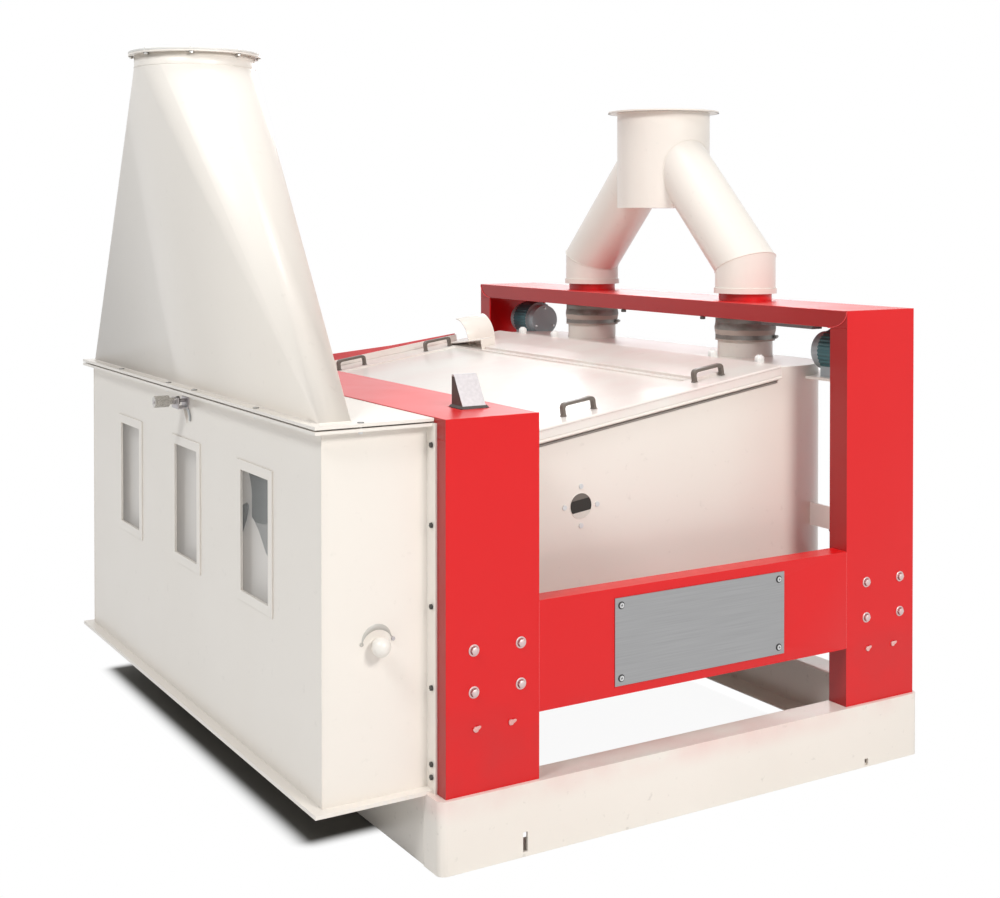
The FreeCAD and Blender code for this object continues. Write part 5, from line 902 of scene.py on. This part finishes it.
CLOTH = sleeve_cloth()
BAND_STEEL = metal("band_steel", (0.24, 0.23, 0.215), 0.42)
dress("sleeve_clamps", BAND_STEEL, 0.0)
for side_name, side in (("front", -1.0), ("back", 1.0)):
    sleeve = shape("inlet_sleeve_" + side_name, CLOTH)
    mesh = bmesh.new()
    levels, around = 26, 96
    outer_rings, inner_rings = [], []
    for level in range(levels + 1):
        share = level / levels
        height = 1.1962 + (1.3188 - 1.1962) * share
        held = min(abs(height - 1.208), abs(height - 1.261))
        loose = min(1.0, held / 0.022) if height < 1.262 else 0.0
        ring_outer, ring_inner = [], []
        for step in range(around):
            turn = 2 * math.pi * step / around
            wrinkle = 0.0016 * loose * math.sin(7 * turn + 9.0 * share) * math.sin(3 * turn + 2.0)
            bulge = 0.0045 * loose
            radius = 0.0948 + bulge + wrinkle
            for ring_points, reach in ((ring_outer, radius), (ring_inner, radius - 0.0034)):
                ring_points.append(mesh.verts.new((PIPE_X + reach * math.cos(turn),
                                                   side * PIPE_HALF + reach * math.sin(turn), height)))
        outer_rings.append(ring_outer)
        inner_rings.append(ring_inner)
    for stack in (outer_rings, inner_rings):
        for lower, upper in zip(stack, stack[1:]):
            for step in range(around):
                following = (step + 1) % around
                mesh.faces.new((lower[step], lower[following], upper[following], upper[step]))
    for level in (0, levels):
        for step in range(around):
            following = (step + 1) % around
            mesh.faces.new((outer_rings[level][step], outer_rings[level][following],
                            inner_rings[level][following], inner_rings[level][step]))
    fill(sleeve, mesh, 50.0)
    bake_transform(sleeve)
    if side_name == "front":
        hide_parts("inlet_sleeves")
    for band_name, band_z, body in (("upper", 1.261, "frame"), ("lower", 1.208, "frame")):
        housing_block = shape("clamp_block_%s_%s" % (band_name, side_name), BAND_STEEL)
        mesh = bmesh.new()
        bmesh.ops.create_cube(mesh, size=1.0)
        bmesh.ops.scale(mesh, vec=(0.024, 0.009, 0.011), verts=mesh.verts)
        bmesh.ops.bevel(mesh, geom=mesh.edges[:], offset=0.0016, segments=2, affect="EDGES")
        facing = math.radians(35.0)
        bmesh.ops.rotate(mesh, matrix=Matrix.Rotation(facing, 3, "Z"), verts=mesh.verts)
        spot = Vector((PIPE_X + 0.1015 * math.cos(facing - math.pi / 2),
                       side * PIPE_HALF + 0.1015 * math.sin(facing - math.pi / 2), band_z))
        bmesh.ops.translate(mesh, vec=spot, verts=mesh.verts)
        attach(fill(housing_block, mesh, 40.0), body)
        spindle = turned("clamp_screw_%s_%s" % (band_name, side_name),
                         [(0.0, 0.0), (0.0028, 0.0), (0.0028, 0.030),
                          (0.0045, 0.030), (0.0045, 0.036), (0.0, 0.036)],
                         spot - Vector((math.cos(facing), math.sin(facing), 0.0)) * 0.012,
                         (math.cos(facing), math.sin(facing), 0.0), SCREW, 16)
        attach(spindle, body)

# A grey strip and two dark nuts show under the inlet portal, between it and the sleeves.
UNDER = enamel("strip_grey", (0.22, 0.23, 0.235), (0.17, 0.18, 0.185), roughness=0.4, peel=0.2)
under_strip = shape("portal_under_strip", UNDER)
mesh = bmesh.new()
bmesh.ops.create_cube(mesh, size=1.0)
bmesh.ops.scale(mesh, vec=(0.0400, 0.2350, 0.0160), verts=mesh.verts)
bmesh.ops.bevel(mesh, geom=mesh.edges[:], offset=0.0010, segments=2, affect="EDGES")
bmesh.ops.translate(mesh, vec=(0.8000, -0.7175, 1.2650), verts=mesh.verts)
under_strip = fill(under_strip, mesh, 40.0)
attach(under_strip, "frame")
hanger = []
for offset in (-0.070, 0.070):
    rod = turned("rod", [(0.0, 0.0), (0.0035, 0.0), (0.0035, 0.0470), (0.0, 0.0470)],
                 (0.800, -0.7175 + offset, 1.2720), UPWARD, UNDER, 16)
    hanger.append(rod)
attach(joined("portal_under_strip_rods", hanger), "frame")
nuts = []
for nut_y in (0.055, -0.385):
    nuts.append(turned("nut", [(0.0, 0.0), (0.0085, 0.0), (0.0095, 0.0020), (0.0095, 0.0090), (0.0, 0.0090)],
                       (0.7205, nut_y, 1.2640), UPWARD, DARK, 6, 20.0))
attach(joined("portal_nuts", nuts), "frame")

# The aspiration channel is a tall box of cream sheet with a flat rim at the top and the bottom.
# Narrow flanges at its back edges are bolted to the outlet columns.
CHANNEL_CREAM = enamel("channel_enamel", CREAM_COLOUR, CREAM_SHADE, grime=0.12)
for sheet_work in ("aspiration_shell", "aspiration_cover", "partition"):
    dress(sheet_work, CHANNEL_CREAM, 0.0)
dress("cover_gasket", DARK, 0.0)
dress("rim_bolts", SCREW, 0.0)
CHANNEL_FRONT, CHANNEL_HALF = OUTLET - 0.287, 0.961
side_bolts = []
for side in (-1.0, 1.0):
    for height in (1.037, 0.840, 0.640, 0.440, 0.252, 0.220):
        side_bolts.append(turned("bolt", [(0.0, 0.0), (0.0070, 0.0), (0.0076, 0.0010), (0.0070, 0.0048),
                                          (0.0, 0.0060)],
                                 (CHANNEL_FRONT + 0.2815, side * (CHANNEL_HALF + 0.026), height), (-1.0, 0.0, 0.0),
                                 DARK, 6, 20.0))
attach(joined("channel_side_bolts", side_bolts), "frame")
cover_washers = []
for x, y in ([(CHANNEL_FRONT - 0.015, y) for y in (-0.584, -0.114, 0.114, 0.584)]
             + [(CHANNEL_FRONT + 0.095, side * (CHANNEL_HALF + 0.015)) for side in (-1, 1)]):
    cover_washers.append(turned("washer", [(0.0035, 0.0), (0.0085, 0.0), (0.0080, 0.0012), (0.0035, 0.0012)],
                                (x, y, 1.1031), UPWARD, DARK, 28))
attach(joined("cover_washers", cover_washers), "frame")
for side_name, side in (("front", -1.0), ("back", 1.0)):
    bead("channel_corner_weld_" + side_name,
         between((CHANNEL_FRONT, side * CHANNEL_HALF, 0.191),
                 (CHANNEL_FRONT, side * CHANNEL_HALF, 1.082), 150),
         0.0014, CREAM_WELD, "frame")

# Three windows of clear plastic let the grain be watched; each has a raised frame with rounded edges.
# Grey primer coats the inside of the channel; the lining sheet that shows it has a faint painted glow. Behind the
# nearest window, flat patches of painted shade stand for a bent guide plate.
dress("window_frames", CHANNEL_CREAM, 0.0012)
CLEAR = bpy.data.materials.new("clear_pane")
CLEAR.use_nodes = True
clear_shader = CLEAR.node_tree.nodes["Principled BSDF"]
clear_shader.inputs["Base Color"].default_value = (0.80, 0.82, 0.82, 1.0)
clear_shader.inputs["Roughness"].default_value = 0.08
clear_shader.inputs["Alpha"].default_value = 0.10
smudges = CLEAR.node_tree.nodes.new("ShaderNodeTexNoise")
smudges.inputs["Scale"].default_value = 14.0
smudge_place = CLEAR.node_tree.nodes.new("ShaderNodeTexCoord")
CLEAR.node_tree.links.new(smudge_place.outputs["Object"], smudges.inputs["Vector"])
smudge_rough = CLEAR.node_tree.nodes.new("ShaderNodeMapRange")
smudge_rough.inputs["To Min"].default_value = 0.04
smudge_rough.inputs["To Max"].default_value = 0.16
CLEAR.node_tree.links.new(smudges.outputs["Fac"], smudge_rough.inputs["Value"])
CLEAR.node_tree.links.new(smudge_rough.outputs["Result"], clear_shader.inputs["Roughness"])
dress("window_panes", CLEAR, 0.0)
INNER_PRIMER_GLOW = enamel("inner_primer_painted_glow", (0.72, 0.68, 0.64), (0.64, 0.60, 0.565), roughness=0.5, peel=0.2)
# The lining glows faintly of its own: painted light.
INNER_PRIMER_GLOW.node_tree.nodes["Principled BSDF"].inputs["Emission Color"].default_value = (0.86, 0.82, 0.78, 1.0)
INNER_PRIMER_GLOW.node_tree.nodes["Principled BSDF"].inputs["Emission Strength"].default_value = 0.13
lining = shape("window_lining", INNER_PRIMER_GLOW)
mesh = bmesh.new()
LINING_FOOT, LINING_HEAD, LINING_NEAR, LINING_FAR = 0.560, 0.955, -0.600, 0.760
across_steps, up_steps, grid = 60, 18, []
for up in range(up_steps + 1):
    row = []
    for across in range(across_steps + 1):
        y = LINING_NEAR + (LINING_FAR - LINING_NEAR) * across / across_steps
        z = LINING_FOOT + (LINING_HEAD - LINING_FOOT) * up / up_steps
        bulge = 0.003 * math.sin(9.0 * y) * math.sin(math.pi * up / up_steps)
        row.append(mesh.verts.new((-0.8520 + bulge, y, z)))
    grid.append(row)
for lower, upper in zip(grid, grid[1:]):
    for across in range(across_steps):
        mesh.faces.new((lower[across], lower[across + 1], upper[across + 1], upper[across]))
fill(lining, mesh, 60.0)
lining_sheet = lining.modifiers.new("sheet", "SOLIDIFY")
lining_sheet.thickness = 0.0012
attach(lining, "frame")
SHADOW_GREY = enamel("inner_dark", (0.085, 0.088, 0.082), (0.050, 0.052, 0.048), roughness=0.55, peel=0.1)


def inner_patch(name, outline, depth, finish):
    """A thin plate inside the channel, cut to an outline of (across, height) points."""
    patch = shape(name, finish)
    cut = bmesh.new()
    cut.faces.new([cut.verts.new((depth, y, z)) for y, z in outline])
    fill(patch, cut)
    plate = patch.modifiers.new("sheet", "SOLIDIFY")
    plate.thickness = 0.0008
    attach(patch, "frame")


# The guide plate is not built: flat patches of painted shade draw its hollow, its half-shaded face and a dark
# slot.
GUIDE_EDGE = [(-0.4190 - 0.0240 * math.sin(math.pi * min(0.5, step / 12)), 0.915 - 0.122 * step / 12)
              for step in range(13)]
inner_patch("guide_hollow",
            GUIDE_EDGE + [(-0.4700, 0.784), (-0.5300, 0.788), (-0.5900, 0.806), (-0.5900, 0.915)],
            -0.8570, SHADOW_GREY)
GUIDE_SHADE = enamel("guide_shade", (0.30, 0.29, 0.275), (0.24, 0.235, 0.22), roughness=0.5, peel=0.1)
inner_patch("guide_half_shade", [(-0.4430, 0.795), (-0.4900, 0.765), (-0.5400, 0.715), (-0.5900, 0.690),
                                 (-0.5900, 0.810), (-0.5300, 0.795)], -0.8562, GUIDE_SHADE)
inner_patch("guide_slot", [(-0.3700, 0.735), (-0.3780, 0.742), (-0.4020, 0.775), (-0.4200, 0.810),
                           (-0.4190, 0.822),
                           (-0.4060, 0.826), (-0.3860, 0.818), (-0.3700, 0.812)], -0.8575, DARK)

# The flap on its cross shaft is plain painted sheet, and an off-white ball knob outside turns it.
# A crescent on the wall shows the knob's travel, and a small screw stops it; the crescent stands barely proud, in
# a darker grey that is painted shade of a pressed groove.
dress("flap", SPRING_STEEL, 0.0)
KNOB_WHITE = enamel("knob_white", (0.83, 0.79, 0.735), (0.80, 0.755, 0.70), roughness=0.29, peel=0.02)
KNOB_X, KNOB_Z, WALL_Y = CHANNEL_FRONT + 0.282 - 0.140, 0.562, -CHANNEL_HALF
knob_profile = [(0.0, 0.0008), (0.0128, 0.0008), (0.0128, 0.0100)]
for step in range(25):
    turn = math.radians(30.0 + 150.0 * step / 24)
    knob_profile.append((0.0238 * math.sin(turn), 0.0290 - 0.0238 * math.cos(turn)))
ball = turned("flap_ball_knob", knob_profile, (KNOB_X, WALL_Y - 0.0010, KNOB_Z), FRONTWARD,
              KNOB_WHITE, 72, 45.0)
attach(ball, "flap")
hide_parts("flap_knob")
CRESCENT_SHADE = enamel("relief_shade", (0.50, 0.475, 0.44), (0.44, 0.415, 0.385), roughness=0.4, peel=0.1)
crescent = shape("knob_travel_crescent", CRESCENT_SHADE)
mesh = bmesh.new()
steps, sections = 40, []
for step in range(steps + 1):
    share = step / steps
    turn = math.radians(168.0 - 150.0 * share)
    middle = Vector((KNOB_X + 0.0030 + 0.0405 * math.cos(turn), WALL_Y,
                     KNOB_Z + 0.0010 + 0.0405 * math.sin(turn)))
    outward = Vector((math.cos(turn), 0.0, math.sin(turn)))
    width = 0.0012 + 0.0062 * math.sin(math.pi * min(1.0, share * 1.05)) ** 0.8
    sections.append([mesh.verts.new(middle + outward * width * reach + Vector((0.0, -rise, 0.0)))
                     for reach, rise in ((-1.0, 0.0), (-0.45, 0.0030), (0.35, 0.0026), (1.0, 0.0))])
for first, second in zip(sections, sections[1:]):
    for corner in range(3):
        mesh.faces.new((first[corner], first[corner + 1], second[corner + 1], second[corner]))
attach(fill(crescent, mesh, 70.0), "frame")
eyelet = turned("crescent_eyelet", [(0.0022, 0.0), (0.0052, 0.0), (0.0050, 0.0022), (0.0022, 0.0022)],
                (KNOB_X - 0.0385, WALL_Y, KNOB_Z + 0.0045), FRONTWARD, CRESCENT_SHADE, 24)
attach(eyelet, "frame")
stop_screw = turned("knob_stop_screw", [(0.0, 0.0), (0.0052, 0.0), (0.0052, 0.0044), (0.0026, 0.0050),
                                        (0.0, 0.0036)],
                    (KNOB_X + 0.0455, WALL_Y, KNOB_Z + 0.0080), FRONTWARD, GREY_SHEET, 6, 20.0)
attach(stop_screw, "frame")
knob_seat = turned("knob_seat_ring", [(0.0135, 0.0), (0.0170, 0.0), (0.0165, 0.0009), (0.0135, 0.0009)],
                   (KNOB_X, WALL_Y, KNOB_Z), FRONTWARD, CHANNEL_CREAM, 48)
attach(knob_seat, "frame")

# The exhaust hood is folded from one blank: four flat triangles, and a fan of soft bends at each corner.
# It ends in a short neck with a flange, and is welded round its foot to the cover.
HOOD_X, HOOD_FOOT, HOOD_TOP, HOOD_ROUND = OUTLET - 0.257, 1.103, 2.026, 0.173
hood = shape("exhaust_hood_sheet", CHANNEL_CREAM)
mesh = bmesh.new()
hood_left, hood_right, hood_half = CHANNEL_FRONT, CHANNEL_FRONT + 0.084, CHANNEL_HALF - 0.014
foot_corners = [(hood_right, -hood_half), (hood_right, hood_half),
                (hood_left, hood_half), (hood_left, -hood_half)]
bends = 28
rim_points, rim_top = [], []
for step in range(4 * bends):
    bearing = math.radians(step * 90.0 / bends - 90.0)
    east, north = HOOD_ROUND * math.cos(bearing), HOOD_ROUND * math.sin(bearing)
    rim_points.append(mesh.verts.new((HOOD_X + east, north, HOOD_TOP)))
    rim_top.append(mesh.verts.new((HOOD_X + east, north, HOOD_TOP + 0.034)))
feet = [mesh.verts.new((x, y, HOOD_FOOT + 0.0002)) for x, y in foot_corners]
for index, corner in enumerate(feet):
    for bend in range(bends):
        first = index * bends + bend
        mesh.faces.new((corner, rim_points[first], rim_points[(first + 1) % (4 * bends)]))
    mesh.faces.new((corner, feet[(index + 1) % 4], rim_points[(index + 1) * bends % (4 * bends)]))
for step in range(4 * bends):
    following = (step + 1) % (4 * bends)
    mesh.faces.new((rim_points[step], rim_points[following], rim_top[following], rim_top[step]))
fill(hood, mesh, 24.0)
hood_sheet = hood.modifiers.new("sheet", "SOLIDIFY")
hood_sheet.thickness = 0.003
hood_sheet.offset = -1.0
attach(hood, "frame")
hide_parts("exhaust_hood")
hood_foot_line = []
for index in range(4):
    start, end = foot_corners[index], foot_corners[(index + 1) % 4]
    count = 12 if index % 2 else 160
    hood_foot_line += between((*start, HOOD_FOOT + 0.0006), (*end, HOOD_FOOT + 0.0006), count)[:-1]
bead("hood_foot_weld", hood_foot_line, 0.0018, CREAM_WELD, "frame", closed=True)
neck_flange = turned("hood_neck_flange", [(0.1702, 0.0), (0.1897, 0.0), (0.1899, 0.0025), (0.1897, 0.0049),
                                          (0.1702, 0.0049)],
                     (HOOD_X, 0.0, HOOD_TOP + 0.034), UPWARD, CHANNEL_CREAM, 112)
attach(neck_flange, "frame")
neck_line = [(HOOD_X + 0.1735 * math.cos(2 * math.pi * step / 112), 0.1735 * math.sin(2 * math.pi * step / 112),
              HOOD_TOP) for step in range(112)]
bead("hood_neck_seam", neck_line, 0.0011, CREAM_WELD, "frame", closed=True)

# A dished cap of pressed sheet closes the neck; it is dull and dusty all over.
# Light bolts with small dark nuts below hold it to the flange.
CAP_CREAM = enamel("cap_enamel", (0.76, 0.745, 0.71), (0.60, 0.59, 0.565), roughness=0.42, peel=0.15, grime=0.6)
CAP_FOOT = HOOD_TOP + 0.034 + 0.005
cap_profile = [(0.0, 0.0002), (0.1890, 0.0002), (0.1899, 0.0012), (0.1899, 0.0050), (0.1890, 0.0060),
               (0.1690, 0.0062)]
for step in range(1, 13):
    turn = math.radians(90.0 * step / 12)
    cap_profile.append((0.1670 * math.cos(turn) if step < 12 else 0.0, 0.0062 + 0.0176 * math.sin(turn)))
cap = turned("exhaust_cap_dish", cap_profile, (HOOD_X, 0.0, CAP_FOOT), UPWARD, CAP_CREAM, 112, 40.0)
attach(cap, "frame")
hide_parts("exhaust_cap")
dress("flange_bolts", metal("light_zinc", (0.80, 0.79, 0.76), 0.3), 0.0)
cap_nuts = []
for number in range(8):
    bearing = math.radians((number + 0.5) * 45.0)
    cap_nuts.append(turned("washer", [(0.0034, 0.0), (0.0078, 0.0), (0.0074, 0.0010), (0.0034, 0.0010)],
                           (HOOD_X + 0.1815 * math.cos(bearing), 0.1815 * math.sin(bearing), HOOD_TOP + 0.0339),
                           (0.0, 0.0, -1.0), DARK, 24))
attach(joined("cap_nut_washers", cap_nuts), "frame")

# A stud under the rim carries a chromed six-sided grip that locks the cover, with a black nut behind it.
# A grey bracket holds it; below hang a white gusset and a bent grey strip on the wall that is the painted shadow
# of the latch.
CHROME = metal("worn_chrome", (0.52, 0.50, 0.47), 0.20, scratches=0.5)
dress("latch_grip", CHROME, 0.0012)
dress("latch_bracket", GREY_SHEET, 0.0)
LATCH_Z = 1.062
black_nut = turned("latch_nut", [(0.0052, 0.0), (0.0130, 0.0), (0.0135, 0.0015), (0.0135, 0.0085),
                                 (0.0125, 0.0100), (0.0052, 0.0100)],
                   (CHANNEL_FRONT - 0.0215, 0.0, LATCH_Z), OUTLETWARD, DARK, 6, 20.0)
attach(black_nut, "frame")
LEVER_SHADOW_GREY = enamel("lever_painted_shadow", (0.42, 0.43, 0.43), (0.34, 0.35, 0.35), roughness=0.3, peel=0.2)
shadow_strip = shape("latch_painted_shadow_strip", LEVER_SHADOW_GREY)
mesh = bmesh.new()
sections = []
for step in range(25):
    share = step / 24
    turn = math.radians(90.0 + 88.0 * share)
    centre_y, centre_z = -0.002, LATCH_Z - 0.058
    spine = Vector((CHANNEL_FRONT - 0.0012, centre_y + 0.040 * math.cos(turn),
                    centre_z + 0.040 * math.sin(turn)))
    spine.y = centre_y + 0.040 * math.cos(turn) * -1.0 * -1.0
    width = 0.0105 - 0.0040 * share
    outward = Vector((0.0, math.cos(turn), math.sin(turn)))
    sections.append([mesh.verts.new(spine + outward * offset * width + Vector((-lift, 0.0, 0.0)))
                     for offset, lift in ((-0.5, 0.0), (-0.5, 0.004), (0.5, 0.004), (0.5, 0.0))])
for first, second in zip(sections, sections[1:]):
    for corner in range(4):
        following = (corner + 1) % 4
        mesh.faces.new((first[corner], first[following], second[following], second[corner]))
mesh.faces.new(list(reversed(sections[0])))
mesh.faces.new(sections[-1])
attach(fill(shadow_strip, mesh, 50.0), "frame")
gusset = shape("latch_gusset", CHANNEL_CREAM)
mesh = bmesh.new()
tri = [(0.004, LATCH_Z - 0.024), (-0.010, LATCH_Z - 0.062), (0.010, LATCH_Z - 0.066)]
front_face = [mesh.verts.new((CHANNEL_FRONT - 0.010 if number == 0 else CHANNEL_FRONT - 0.002, -y, z))
              for number, (y, z) in enumerate(tri)]
back_face = [mesh.verts.new((CHANNEL_FRONT, -y, z)) for y, z in tri]
mesh.faces.new(front_face)
mesh.faces.new(list(reversed(back_face)))
for corner in range(3):
    following = (corner + 1) % 3
    mesh.faces.new((front_face[corner], front_face[following], back_face[following], back_face[corner]))
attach(fill(gusset, mesh), "frame")
